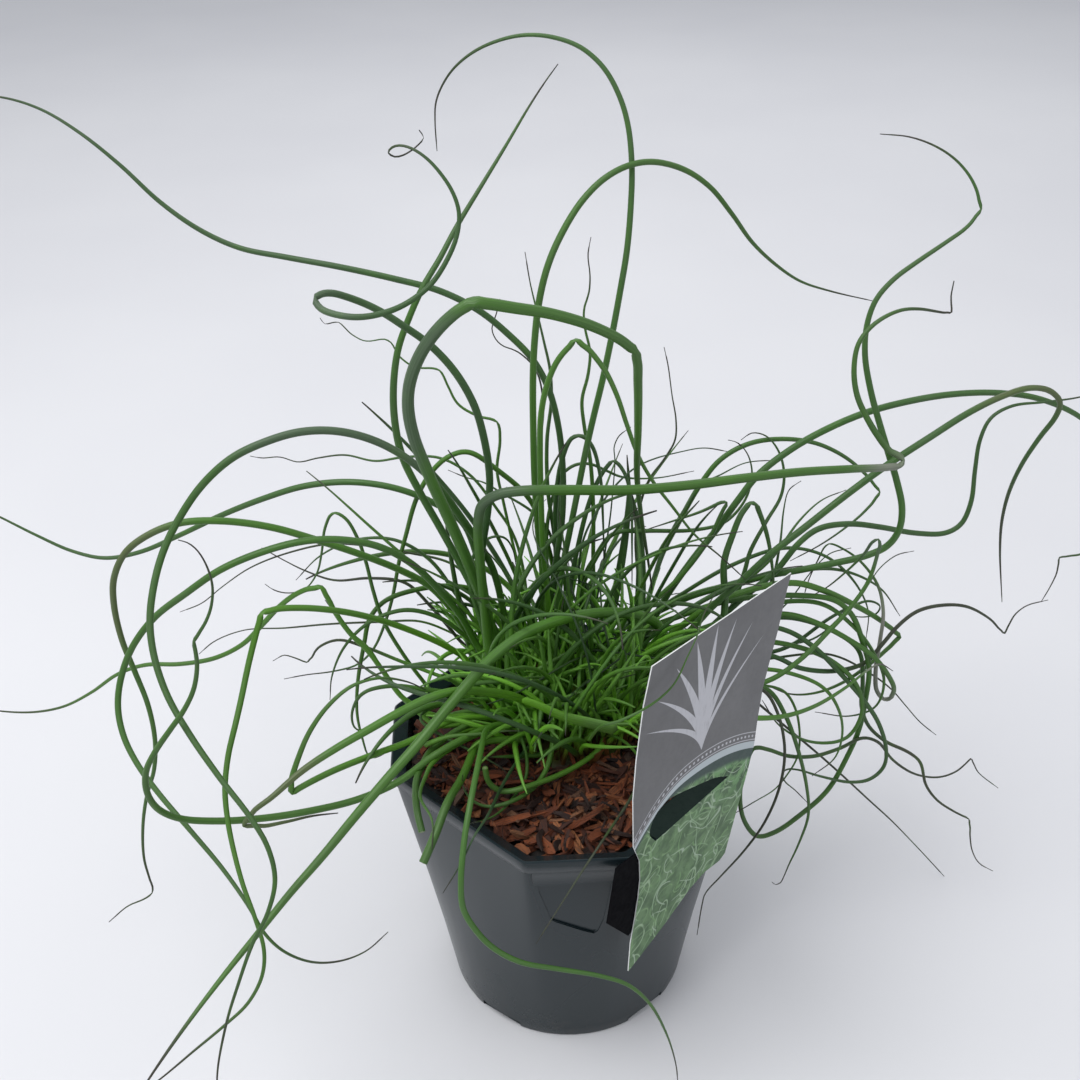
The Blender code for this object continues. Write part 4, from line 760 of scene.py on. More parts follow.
    "left_crook": (2.2, (450, 680, 20), (400, 661), (365, 647), (338, 640), (318, 648), (307, 664),
        (298, 660), (285, 655), (273, 661, 32)),
    "right_thin_high": (1.6, (640, 600, 88), (636, 530), (648, 482), (665, 458), (675, 440), (676, 420),
        (672, 395), (668, 365), (664, 347, 122)),
    "right_thin_low": (1.5, (670, 640, 52), (715, 665), (757, 702), (790, 730), (822, 757), (855, 787),
        (885, 816), (912, 848), (942, 886, 34)),
    "right_thin_up": (1.6, (662, 628, 66), (740, 640, 62), (810, 640), (845, 612), (866, 588), (880, 568),
        (897, 555), (914, 551, 102)),
    "right_thin_down": (1.6, (670, 655, 56), (750, 660), (830, 655), (872, 675), (892, 690), (906, 706),
        (920, 722), (936, 735, 62)),
}

# Thin stems that are joined to the crown, and the stems that end in a cut
THIN_STEMS = {
    "dark_left": (2.0, (455, 640, 56), (430, 608), (405, 583), (370, 578), (335, 580), (305, 570),
        (285, 560), (262, 547, 84)),
    "dark_high": (1.6, (545, 560, 82), (541, 500), (541, 450), (544, 405), (536, 370), (518, 352),
        (500, 344), (492, 330), (496, 315), (500, 299, 104)),
    "strand_right": (1.8, (668, 660, 38), (725, 680), (782, 690, 44), (794, 706), (799, 733), (797, 757),
        (788, 774), (775, 790), (755, 802), (732, 815, 8)),
    "front_arc": (2.6, (470, 684, -8), (505, 681), (545, 686), (570, 696), (583, 709), (577, 719, 8)),
    "front_brown_tip": (2.2, (425, 724, -12), (445, 736), (470, 748), (492, 762), (505, 778),
        (508, 790, -32)),
}
CUT_STEMS = ("front_hook_right", "cut_long", "cut_short")

# Where the stems and the short shoots between them leave the crown
CROWN_TOP = 0.1600
CROWN_SLOT_RADIUS = 0.046
SHOOT_COUNT = 22
SHOOT_GIRTH = 2.4
SHOOT_LENGTH = (0.060, 0.150)
SHOOT_SPREAD = 0.75
SHOOT_SWING = 0.25
SHOOT_BOW = 0.25
SHOOT_STEPS = 12
SHOOT_CARD_ROOM = 0.006
SHOOT_SEED = 11
JOINED_FOOT = CROWN_TOP - 0.001

# How far a stem stands up from the crown before it leans, and how finely its route is followed
STEM_RISE = 0.005
ROOT_PULL = 0.9
ROOT_STEPS = 16
ROOT_AIM = 6
CURVE_STEPS = 8
DEPTH_MARKS = 200
DEPTH_EASING = 60
SHIFT_EASING = 6
ROUTE_STEP = 0.004
ROUTE_SLACK = 0.0026
RING_CLOSE = 1.7

# How stems are kept off each other, off the pot and off the card
STEM_CLEARANCE = 0.0005
SETTLE_ROUNDS = 160
SETTLE_REACH = 0.007
SETTLE_PUSH = 0.62
SETTLE_SHARE = 0.05
OWN_NEIGHBOURS = 3
FIXED_RINGS = 2
POT_ROOM = 0.0018
RIM_SIDE_DROP = 0.006

# How a stem thins along its length, from what girth in mm it has more sides, and how it is folded
THICK_STEM = 3.4
THICK_TUBE_SIDES = 12
THIN_TUBE_SIDES = 8
TAPER_START = 0.35
TIP_FALL = 0.88
TIP_RADIUS = 0.2
FINE_STEPS = 2
FINEST_RADIUS = 0.00034
FOLD_REACH = 2
FOLD_POINT = 0.45
CREASE_BEND = (0.28, 0.60)
CREASE_PINCH = 0.60
CREASE_SPREAD = 0.28
CUT_DOME = 0.1
TIP_DOME = 0.45
GRAIN_RATE = 10
STEM_SHARP_ANGLE = 60
STEM_SEED = 21

# Where the label card hangs on the front right side: how far out of it, and how far it reaches along that
# side from the front corner and up from the rim
CARD_OFF_RIM = 0.0010
CARD_REACH = (-0.023, 0.117, -0.079, 0.117)
CARD_ROOM = 0.0012

# By name: how fresh a stem's green is, which points of its route it is folded at, and from what share of
# its length it withers
TONES = {
    "right_dark": 0.05, "right_thin_low": 0.1, "right_thin_up": 0.1, "front_thick": 0.75,
    "front_folded": 0.9, "cut_long": 0.7, "front_hook_right": 0.95, "left_drop": 0.40, "far_left_high": 0.2,
    "top_loop": 0.35, "thick_arch": 0.60, "spear": 0.4, "left_corner": 0.95, "left_far": 0.75,
    "left_tent": 0.8, "left_hang": 0.65, "left_sweep": 0.45, "level": 0.60, "bent_over": 0.75,
    "right_tall": 0.35, "right_long": 0.30, "right_return": 0.30, "over_front": 0.45, "left_loop": 0.6,
    "dark_left": 0.05, "dark_high": 0.05
}
FOLDS = {
    "thick_arch": (9.4, 14.8), "left_far": (6.3,), "left_corner": (6.8,), "left_low": (15,),
    "left_crook": (5,), "left_tent": (5.2,), "right_tall": (21.2,), "level": (26,), "right_hoop": (10,),
    "right_fold": (6,), "front_folded": (11,), "bent_over": (7.5,), "right_hook": (12,),
    "right_wander": (14,), "right_coil": (28,), "right_long": (19,)
}
WITHERS = {
    "right_coil": 0.66, "right_wander": 0.55, "right_hook": 0.40, "right_return": 0.72, "right_dark": 0.20,
    "left_corner": 0.80, "left_hang": 0.80, "left_sweep": 0.84, "front_needle": 0.35,
    "right_thin_low": 0.25, "right_thin_down": 0.4, "left_thin_low": 0.3, "left_crook": 0.5,
    "top_loop": 0.80, "left_far": 0.75, "right_thin_high": 0.3, "left_drop": 0.85, "dark_left": 0.15,
    "dark_high": 0.3, "left_thin_high": 0.25, "upright_wavy": 0.8, "left_ripple": 0.7
}

# The colours of the stems, and how far along a stem or how strongly each is laid on
SHEATH_BROWN = (0.110, 0.045, 0.014)
BASE_YELLOW = (0.160, 0.420, 0.022)
FRESH_GREEN = (0.092, 0.270, 0.009)
DEEP_GREEN = (0.021, 0.066, 0.021)
GREY_GREEN = (0.064, 0.112, 0.046)
STEM_GREY = (0.085, 0.130, 0.075)
STEM_OLIVE = (0.110, 0.135, 0.052)
DRY_TIP = (0.046, 0.036, 0.028)
DARK_TIP = (0.020, 0.015, 0.014)
CUT_PITH = (0.36, 0.42, 0.20)
# Painted highlight: a pale stretch where light catches a stem.
PAINTED_SHEEN = (0.300, 0.290, 0.260)
RIB_GREEN = (0.010, 0.040, 0.008)
BLOOM_GREY = (0.110, 0.170, 0.090)
PATCH_GREEN = (0.075, 0.210, 0.012)
FLECK_BROWN = (0.095, 0.075, 0.030)

# By name: between which points of its route a stem's colour turns to another, some of them to a painted
# highlight
PATCHES = {
    "right_ring": ((7.5, 13, PAINTED_SHEEN),), "right_sag": ((6, 8, PAINTED_SHEEN),),
    "level": ((2.4, 5.2, STEM_GREY), (11.6, 14.5, PAINTED_SHEEN)), "thick_arch": ((3.5, 8.6, STEM_GREY),),
    "right_spur": ((7, 10, STEM_GREY),), "curl_tip": ((12, 16, STEM_GREY),),
    "left_hang": ((8.5, 13.5, STEM_OLIVE),), "right_return": ((9.5, 14, STEM_OLIVE),),
    "left_drop": ((3, 9, STEM_GREY),), "front_folded": ((7.5, 15, STEM_OLIVE),)
}
SHEATH_SPAN = (0.022, 0.004)
GREY_SPAN = (0.20, 0.90)
DRY_SPAN = (0.88, 0.97)
DARK_SPAN = (0.97, 1.0)
OWN_BRIGHTNESS = (0.86, 1.12)
PATCH_SHARE = 0.85
PATCH_EDGE = 0.03
WITHER_SHARE = 0.8
WITHER_EDGE = 0.16

UP = np.array((0.0, 0.0, 1.0))


def side_frame():
    """The front right side: its front corner at the rim, the way along it and the way out of it."""
    start = Vector((POT_CUT_CORNER / 2, -corner_distance(), POT_HEIGHT))
    along = Vector((1, 1, 0)).normalized()
    outward = Vector((1, -1, 0)).normalized()
    return start, along, outward


def side_arrays():
    return [np.array(part) for part in side_frame()]


def view_to_space(columns, rows, depths):
    """Points seen at these columns and rows of the view, at these depths behind the pot's axis (mm)."""
    right, up, forward = view_axes()
    across, down = columns - VIEW_MIDDLE, rows - VIEW_MIDDLE
    u = across * math.cos(VIEW_ROLL) + down * math.sin(VIEW_ROLL)
    v = down * math.cos(VIEW_ROLL) - across * math.sin(VIEW_ROLL)
    rays = forward + np.outer(u / VIEW_FOCAL, right) - np.outer(v / VIEW_FOCAL, up)
    eye = np.array(VIEW_EYE)
    reach = (depths * MM - eye[1]) / rays[:, 1]
    return eye + rays * reach[:, None]


def part_way(t, start, end, a, b):
    """From a to b as t goes from start to end."""
    return (end - t) / (end - start) * a + (t - start) / (end - start) * b


def travel_along(path):
    """How far each point of the path is from its start, along it."""
    return np.concatenate([[0], np.cumsum(np.linalg.norm(np.diff(path, axis=0), axis=1))])


def smooth_curve(points, per_span=CURVE_STEPS):
    """A centripetal Catmull-Rom curve through the points."""
    points = np.asarray(points, float)
    padded = np.vstack([2 * points[0] - points[1], points, 2 * points[-1] - points[-2]])
    knots = np.concatenate([[0], np.cumsum(np.linalg.norm(np.diff(padded, axis=0), axis=1) ** 0.5)])
    curve = []
    for i in range(1, len(padded) - 2):
        p0, p1, p2, p3 = padded[i - 1:i + 3]
        t0, t1, t2, t3 = knots[i - 1:i + 3]
        for t in np.linspace(t1, t2, per_span, endpoint=False):
            middle = part_way(t, t1, t2, p1, p2)
            before = part_way(t, t0, t2, part_way(t, t0, t1, p0, p1), middle)
            after = part_way(t, t1, t3, middle, part_way(t, t2, t3, p2, p3))
            curve.append(part_way(t, t1, t2, before, after))
    curve.append(points[-1])
    return np.array(curve)


def even_steps(curve, step):
    lengths = travel_along(curve)
    count = max(3, int(round(lengths[-1] / step)) + 1)
    marks = np.linspace(0, lengths[-1], count)
    return np.stack([np.interp(marks, lengths, curve[:, axis]) for axis in range(curve.shape[1])], axis=1)


def route_in_space(route):
    """The route's curve, with its depth eased between the points that state one."""
    seen = smooth_curve([point[:2] for point in route])
    travel = travel_along(seen)
    stated = [(travel[i * CURVE_STEPS], point[2]) for i, point in enumerate(route) if len(point) == 3]
    depths = np.interp(travel, [s for s, _ in stated], [d for _, d in stated])
    marks = np.linspace(0, travel[-1], DEPTH_MARKS)
    level = np.interp(marks, travel, depths)
    for _ in range(DEPTH_EASING):
        level[1:-1] = (level[:-2] + 2 * level[1:-1] + level[2:]) / 4
    depths = np.interp(travel, marks, level)
    return view_to_space(seen[:, 0], seen[:, 1], depths)


def crown_slots(count):
    """Places on the crown's top, spread evenly from its middle to its edge."""
    steps = np.arange(count)
    radius = CROWN_SLOT_RADIUS * np.sqrt((steps + 0.5) / count)
    angle = steps * math.pi * (3 - math.sqrt(5))
    spots = np.stack([radius * np.cos(angle), radius * np.sin(angle)], axis=1)
    return spots + CROWN_CENTRE


def take_slot(free, towards):
    """The free slot nearest to where the stem heads, measured a little inside the crown's edge."""
    way = np.asarray(towards[:2]) - CROWN_CENTRE
    reach = np.linalg.norm(way)
    aim = np.array(CROWN_CENTRE) + way * min(1.0, CROWN_SLOT_RADIUS / max(reach, 1e-6))
    nearest = min(range(len(free)), key=lambda i: (free[i][0] - aim[0]) ** 2 + (free[i][1] - aim[1]) ** 2)
    return free.pop(nearest)


def rooted_path(slot, foot, route):
    """The stem from its slot on the crown, upright at first and then easing into its route."""
    root = np.array([*slot, foot])
    base = root + UP * STEM_RISE
    start = route[0]
    pull = np.linalg.norm(start - base) * ROOT_PULL
    into = route[min(ROOT_AIM, len(route) - 1)] - start
    into = into / np.linalg.norm(into) * pull
    rise = UP * pull
    t = np.linspace(0, 1, ROOT_STEPS, endpoint=False)[:, None]
    bend = ((2 * t ** 3 - 3 * t ** 2 + 1) * base + (t ** 3 - 2 * t ** 2 + t) * rise
            + (3 * t ** 2 - 2 * t ** 3) * start + (t ** 3 - t ** 2) * into)
    return np.vstack([root, even_steps(np.vstack([bend, route]), ROUTE_STEP)])


def shoot_path(slot, foot, chance):
    """A short shoot that leaves the crown nearly upright and leans outwards."""
    outward = np.array([slot[0] - CROWN_CENTRE[0], slot[1] - CROWN_CENTRE[1], 0.0]) / CROWN_SLOT_RADIUS
    length = chance.uniform(*SHOOT_LENGTH)
    swing = np.array([chance.normal(), chance.normal(), 0.0]) * SHOOT_SWING
    lean = (outward * SHOOT_SPREAD + swing) * length
    corner, _, to_card = side_arrays()
    past = (np.array([*slot, POT_HEIGHT]) + lean - corner) @ to_card + SHOOT_CARD_ROOM
    lean = lean - to_card * max(0.0, past)
    t = np.linspace(0, 1, SHOOT_STEPS)[:, None]
    root = np.array([*slot, foot])
    base = root + UP * STEM_RISE
    rise = UP * length * t * (1 - SHOOT_BOW * t)
    return np.vstack([root, even_steps(base + rise + lean * t ** 2, ROUTE_STEP)])


def ring_marks(path, radius):
    """Which points of a fine path its tube keeps, so that it stays within ROUTE_SLACK of the path."""
    keep = [0, 1, len(path) - 1]
    spans = [(1, len(path) - 1)]
    while spans:
        start, end = spans.pop()
        if end - start < 2:
            continue
        between = path[start + 1:end] - path[start]
        chord = path[end] - path[start]
        length = max(np.linalg.norm(chord), 1e-9)
        share = np.clip(between @ chord / length ** 2, 0, 1)
        bow = np.linalg.norm(between - share[:, None] * chord, axis=1)
        worst = start + 1 + int(bow.argmax())
        clear = min(np.linalg.norm(path[worst] - path[start]), np.linalg.norm(path[worst] - path[end]))
        if bow.max() > ROUTE_SLACK and clear > RING_CLOSE * radius:
            keep.append(worst)
            spans += [(start, worst), (worst, end)]
    return sorted(set(keep))


def stem_radii(path, girth, blunt):
    """Full girth for the first third, then drawn out to a fine tip, or full girth all the way if cut."""
    if blunt:
        return np.full(len(path), girth / 2 * MM)
    lengths = travel_along(path)
    share = lengths / lengths[-1]
    fall = np.clip((share - TAPER_START) / (1 - TAPER_START), 0, 1)
    return np.maximum(girth / 2 * (1 - TIP_FALL * fall ** 2), TIP_RADIUS) * MM


def closest_on_segments(p, d1, q, d2):
    """Where two sets of segments come closest, as the share along each."""
    r = p - q
    a = (d1 * d1).sum(1)
    e = (d2 * d2).sum(1)
    b = (d1 * d2).sum(1)
    c = (d1 * r).sum(1)
    f = (d2 * r).sum(1)
    s = np.clip((b * f - c * e) / np.maximum(a * e - b * b, 1e-12), 0, 1)
    t = np.clip((b * s + f) / np.maximum(e, 1e-12), 0, 1)
    s = np.clip((b * t - c) / np.maximum(a, 1e-12), 0, 1)
    return s, t


def push_apart(points, girth, heads, first, second):
    """How far each point moves when segments that are too close push each other, or nothing if none is."""
    middle = (points[heads] + points[heads + 1]) / 2
    half = np.linalg.norm(points[heads + 1] - points[heads], axis=1) / 2
    apart = np.linalg.norm(middle[first] - middle[second], axis=1)
    close = apart < half[first] + half[second] + SETTLE_REACH
    i, j = heads[first[close]], heads[second[close]]
    d1, d2 = points[i + 1] - points[i], points[j + 1] - points[j]
    s, t = closest_on_segments(points[i], d1, points[j], d2)
    between = points[i] + d1 * s[:, None] - points[j] - d2 * t[:, None]
    distance = np.linalg.norm(between, axis=1)
    need = girth[i] * (1 - s) + girth[i + 1] * s + girth[j] * (1 - t) + girth[j + 1] * t
    need = need + STEM_CLEARANCE
    short = distance < need
    if not short.any():
        return None
    i, j, s, t = i[short], j[short], s[short], t[short]
    way = between[short] / np.maximum(distance[short], 1e-7)[:, None]
    push = way * ((need[short] - distance[short]) * SETTLE_PUSH)[:, None]
    move = np.zeros_like(points)
    hits = np.zeros(len(points))
    for index, share, sign in ((i, 1 - s, 1), (i + 1, s, 1), (j, 1 - t, -1), (j + 1, t, -1)):
        np.add.at(move, index, sign * push * share[:, None])
        np.add.at(hits, index, (share > SETTLE_SHARE).astype(float))
    return move / np.maximum(1.0, hits ** 0.5)[:, None]


def settle(paths, radii):
    """Moves crossing stems apart until each has its clearance, as real stems push each other aside."""
    owner = np.concatenate([np.full(len(path), i) for i, path in enumerate(paths)])
    place = np.concatenate([np.arange(len(path)) for path in paths])
    points = np.vstack(paths)
    girth = np.concatenate(radii)
    heads = np.array([i for i in range(len(points) - 1) if owner[i] == owner[i + 1]])
    first, second = np.triu_indices(len(heads), 1)
    near = (owner[heads[first]] != owner[heads[second]]) | (np.abs(first - second) > OWN_NEIGHBOURS)
    first, second = first[near], second[near]
    fixed = place < FIXED_RINGS
    for _ in range(SETTLE_ROUNDS):
        keep_off_pot(points, girth, fixed)
        keep_off_card(points, girth, heads, fixed)
        move = push_apart(points, girth, heads, first, second)
        if move is None:
            break
        move[fixed] = 0
        points += move
    return np.split(points, np.cumsum([len(path) for path in paths])[:-1])


def keep_off_pot(points, girth, fixed):
    """Lifts stems that dip into the rim, the mulch or the floor, and moves low ones off the pot's side."""
    room = girth + POT_ROOM
    roundness = np.clip(1 - points[:, 2] / POT_HEIGHT, 0, 1)
    square = np.array([rim_reach(math.atan2(y, x), 0.0) for x, y, _ in points])
    square = square * (1 - roundness) + POT_FOOT_RADIUS * roundness
    reach = np.hypot(points[:, 0], points[:, 1])
    inside = reach < square - RIM_LEDGE - room
    outside = reach > square + room
    floor = np.where(inside, MULCH_TOP + MULCH_MOUND + MULCH_LUMP, np.where(outside, 0.0, POT_HEIGHT)) + room
    low = (points[:, 2] < floor) & ~fixed
    sideways = low & ~inside & ~outside & (points[:, 2] < POT_HEIGHT - RIM_SIDE_DROP)
    lift = low & ~sideways
    points[lift, 2] = floor[lift]
    grow = ((square + room) / np.maximum(reach, 1e-6))[sideways]
    points[sideways, 0] *= grow
    points[sideways, 1] *= grow


def keep_off_card(points, girth, heads, fixed):
    """Keeps stems off both faces of the label card."""
    start, along, outward = side_arrays()
    left, right, bottom, top = CARD_REACH

    def over_card(places):
        across, up = places @ along, places[:, 2]
        return (across > left) & (across < right) & (up > bottom) & (up < top)

    from_corner = points - start
    off = from_corner @ outward - CARD_OFF_RIM
    room = girth + CARD_ROOM
    side = np.where(off > 0, 1, -1)
    close = over_card(from_corner) & (np.abs(off) < room) & ~fixed
    points[close] += outward * (side * room - off)[close, None]
    i, j = heads, heads + 1
    share = off[i] / np.where(off[i] == off[j], 1.0, off[i] - off[j])
    meets = from_corner[i] + (from_corner[j] - from_corner[i]) * np.clip(share, 0, 1)[:, None]
    through = (off[i] * off[j] < 0) & over_card(meets)
    nearer = np.unique(np.where(np.abs(off[i]) < np.abs(off[j]), i, j)[through])
    nearer = nearer[~fixed[nearer]]
    points[nearer] -= outward * (side * room + off)[nearer, None]


def blend_colour(base, shade, share):
    """The base colour turned to the shade, by its own share at each ring."""
    return base * (1 - share)[:, None] + np.outer(share, shade)


def ease(value, low, high):
    share = np.clip((value - low) / (high - low), 0, 1)
    return share * share * (3 - 2 * share)


def stem_colours(path, tone, blunt, chance, wither=1.0, changes=(), grown=0.0):
    """The stem's colour at each ring: brown sheath, yellow-green foot, green, a withered part, a dry tip."""
    travel = travel_along(path)
    share = travel / travel[-1]
    travel = travel + grown
    green = np.array(DEEP_GREEN) * (1 - tone) + np.array(FRESH_GREEN) * tone
    foot = np.array(BASE_YELLOW) * (0.1 + 0.95 * tone) + np.array(DEEP_GREEN) * max(0.0, 1 - tone)
    colour = blend_colour(foot, green, ease(travel, 0.015, 0.07 + 0.06 * tone))
    waves = np.sin(travel * chance.uniform(25, 60) + chance.uniform(0, 6))
    waves = waves * np.sin(travel * 17 + chance.uniform(0, 6))
    grey = 0.10 + 0.38 * ease(share, *GREY_SPAN) + 0.12 * waves
    colour = blend_colour(colour, GREY_GREEN, grey)
    colour = blend_colour(colour, SHEATH_BROWN, ease(travel, *SHEATH_SPAN))
    # Stretches of another colour, some of them a painted highlight.
    for start, end, shade in changes:
        rise = PATCH_SHARE * ease(share, start - PATCH_EDGE, start + PATCH_EDGE)
        colour = blend_colour(colour, shade, rise * ease(share, end + PATCH_EDGE, end - PATCH_EDGE))
    withered = WITHER_SHARE * ease(share, wither, wither + WITHER_EDGE)
    colour = blend_colour(colour, DRY_TIP, withered)
    if not blunt:
        colour = blend_colour(colour, DRY_TIP, ease(share, *DRY_SPAN))
        colour = blend_colour(colour, DARK_TIP, ease(share, *DARK_SPAN))
    return np.clip(colour * chance.uniform(*OWN_BRIGHTNESS), 0, 1)


def fine_path(path, radii):
    """The settled route at finer steps, thick enough to be seen except at its very tip."""
    marks = np.arange(len(path))
    fine = smooth_curve(path, FINE_STEPS)
    places = np.linspace(0, len(path) - 1, len(fine))
    return fine, np.maximum(np.interp(places, marks, radii), FINEST_RADIUS * (places < len(path) - 2))


def creased(around, bend, facing):
    """The ring, pinched and spread by how sharply the stem bends at it."""
    angle = np.linalg.norm(bend)
    crease = ease(angle, *CREASE_BEND)
    if crease > 0:
        bend /= angle
        spread = np.cross(facing, bend)
        around -= CREASE_PINCH * crease * np.outer(around @ bend, bend)
        around += CREASE_SPREAD * crease * np.outer(around @ spread, spread)
    return around


def add_stem(bm, layers, path, radii, sides, colours, flat=1.0, cut=False):
    """A tapered tube with closed ends, creased where it is folded, its colour and its grain along it."""
    tint, grain = layers
    ways = np.diff(path, axis=0)
    ways /= np.maximum(np.linalg.norm(ways, axis=1), 1e-9)[:, None]
    marks = travel_along(path) * GRAIN_RATE
    across = np.cross(ways[0], (0.3, 1.0, 0.2))
    across = across / np.linalg.norm(across)
    turns = np.arange(sides) * 2 * math.pi / sides
    rings = []
    last = len(path) - 1
    for i, spot in enumerate(path):
        way_in, way_out = ways[max(0, i - 1)], ways[min(i, last - 1)]
        facing = way_in + way_out
        facing /= max(np.linalg.norm(facing), 1e-6)
        across = across - facing * (across @ facing)
        across /= np.linalg.norm(across)
        beside = np.cross(facing, across)
        around = radii[i] * (np.outer(np.cos(turns), across) + np.outer(np.sin(turns) * flat, beside))
        around = creased(around, way_out - way_in, facing)
        rings.append([bm.verts.new(place) for place in spot + around])
        for vert in rings[-1]:
            vert[tint] = (*colours[i], 1.0)
    for number, face in enumerate(bridge_stack(bm, rings)):
        i, side = divmod(number, sides)
        corners = ((side, i), (side + 1, i), (side + 1, i + 1), (side, i + 1))
        for loop, (turn, ring) in zip(face.loops, corners):
            loop[grain].uv = (turn / sides, marks[ring])
    for ring, way, i in ((rings[0], -ways[0], 0), (rings[-1], ways[-1], last)):
        middle = bm.verts.new(path[i] + way * radii[i] * (CUT_DOME if cut else TIP_DOME))
        middle[tint] = (*(CUT_PITH if cut and i else colours[i]), 1.0)
        for side, face in enumerate(close_ring(bm, ring, middle)):
            for loop in face.loops:
                loop[grain].uv = (side / sides, marks[i])


def stem_layers(bm):
    return bm.verts.layers.float_color.new("tint"), bm.loops.layers.uv.new("grain")


def rush_material():
    nodes = Nodes("rush_stem", 0.46)
    place = nodes.coords()
    ribs = nodes.noise(nodes.stretch(nodes.coords("UV"), (26.0, 1.4, 1.0)), 1.0, 2.0, 0.5)
    patches = nodes.noise(place, 48.0, 3.0)
    flecks = nodes.noise(place, 900.0, 2.0, 0.6)
    colour = nodes.tinge(nodes.attribute("tint"), RIB_GREEN, ribs, 0.30, 0.70, 0.30)
    colour = nodes.tinge(colour, BLOOM_GREY, patches, 0.52, 0.72, 0.16)
    colour = nodes.tinge(colour, PATCH_GREEN, patches, 0.46, 0.30, 0.22)
    colour = nodes.tinge(colour, FLECK_BROWN, flecks, 0.68, 0.80, 0.22)
    roughness = nodes.plus(nodes.band(patches, 0.3, 0.7, 0.38, 0.48), nodes.band(ribs, 0.3, 0.7, 0.0, 0.08))
    height = nodes.plus(ribs, nodes.times(flecks, 0.25))
    return nodes.done(Base_Color=colour, Roughness=roughness, Specular_IOR_Level=0.42,
                      Normal=nodes.bump(height, 0.00035, 0.7))


def place_of(path, course, point):
    """The index of the path's point nearest to a point of its route, which may be a fraction."""
    return int(np.argmin(np.linalg.norm(path - course[int(round(point * CURVE_STEPS))], axis=1)))


def fold_at(path, place):
    """Turns the path sharply here: its way in and its way out are carried on until they meet."""
    start, end = max(1, place - FOLD_REACH), min(len(path) - 2, place + FOLD_REACH)
    way_in = path[start] - path[start - 1]
    way_out = path[end] - path[end + 1]
    both = np.stack([way_in, -way_out], axis=1)
    ahead, back = np.linalg.lstsq(both, path[end] - path[start], rcond=None)[0]
    ahead, back = np.clip((ahead, back), 0.5, 1.6 * FOLD_REACH)
    meeting = (path[start] + way_in * ahead + path[end] + way_out * back) / 2
    tip = path[place] * (1 - FOLD_POINT) + meeting * FOLD_POINT
    for i in range(start, end + 1):
        from_tip = (place - i) / (place - start) if i < place else (i - place) / (end - place)
        path[i] = tip * (1 - from_tip) + path[start if i < place else end] * from_tip


def stems_as_traced():
    """Every stem and shoot as (kind, name, blunt, path, radii, folds, patches), where its route has it."""
    free = [tuple(slot) for slot in crown_slots(len(STEMS) + len(THIN_STEMS) + SHOOT_COUNT)]
    rows = []
    for kind, table, foot in (("own", STEMS, CROWN_TOP + GAP), ("joined", THIN_STEMS, JOINED_FOOT)):
        for name, (girth, *route) in table.items():
            course = route_in_space(route)
            path = rooted_path(take_slot(free, course[0]), foot, course)
            folds = [place_of(path, course, point) for point in FOLDS.get(name, ())]
            patches = [(*(place_of(path, course, point) / len(path) for point in ends), shade)
                       for *ends, shade in PATCHES.get(name, ())]
            blunt = name in CUT_STEMS
            rows.append((kind, name, blunt, path, stem_radii(path, girth, blunt), folds, patches))
    chance = np.random.RandomState(SHOOT_SEED)
    for slot in free:
        path = shoot_path(slot, JOINED_FOOT, chance)
        rows.append(("joined", "shoot", False, path, stem_radii(path, SHOOT_GIRTH, False), (), ()))
    return rows


def plan_stems():
    """The same rows, each with a fine path that is settled clear of the others and then folded."""
    rows = stems_as_traced()
    marks = [ring_marks(row[3], row[4][0]) for row in rows]
    moved = settle([row[3][keep] for row, keep in zip(rows, marks)],
                   [row[4][keep] for row, keep in zip(rows, marks)])
    settled = []
    for (kind, name, blunt, path, radii, folds, patches), keep, spots in zip(rows, marks, moved):
        shift = spots - path[keep]
        places = np.arange(len(path))
        eased = np.stack([np.interp(places, keep, shift[:, axis]) for axis in range(3)], axis=1)
        for _ in range(SHIFT_EASING):
            eased[2:-1] = (eased[1:-2] + 2 * eased[2:-1] + eased[3:]) / 4
        path = path + eased
        for place in folds:
            fold_at(path, place)
        settled.append((kind, name, blunt, *fine_path(path, radii), patches))
    return settled


RUSH = rush_material()
PLAN = plan_stems()


def make_stems():
    chance = np.random.RandomState(STEM_SEED)
    for kind, name, blunt, path, radii, changes in PLAN:
        tone = TONES.get(name, chance.uniform(0.15, 0.75))
        if kind != "own":
            continue
        bm = bmesh.new()
        sides = THICK_TUBE_SIDES if radii[0] * 2 > THICK_STEM * MM else THIN_TUBE_SIDES
        colours = stem_colours(path, tone, blunt, chance, WITHERS.get(name, 1.0), changes)
        add_stem(bm, stem_layers(bm), path, radii, sides, colours, cut=blunt)
        hand_over(finished("rush_" + name, bm, RUSH, STEM_SHARP_ANGLE), "stem_" + name)


make_stems()

# Crown. The rhizome mat that everything rises from, with the dense tuft of bright young shoots, the
# thinner stems that are joined to it and the dry brown sheaths at its edge. A flat cut stem lies on it.
# The tuft and the flat stem carry painted light, and the tuft's front carries painted shade.
BLADE = ((524, 700, -28), (540, 706), (560, 715), (590, 723), (614, 729, -34))
BLADE_GIRTH = (5.0, 9.6)
BLADE_STEP = 0.002
BLADE_SIDES = 16
BLADE_FLAT = 0.35
BLADE_TONE = 0.95
# Painted light: the flat stem's colours are brightened and paled by this much.
BLADE_PAINTED_LIGHT = np.array((1.7, 1.55, 1.8))
TUFT_COUNT = 255
TUFT_SIDES = 7
TUFT_LENGTH = (0.030, 0.095)
TUFT_GIRTH = (2.0, 3.5)
TUFT_SEED = 3
# Painted light: how much the tuft's colours are brightened to lift the shade among its crowded shoots.
TUFT_PAINTED_LIGHT = 1.8
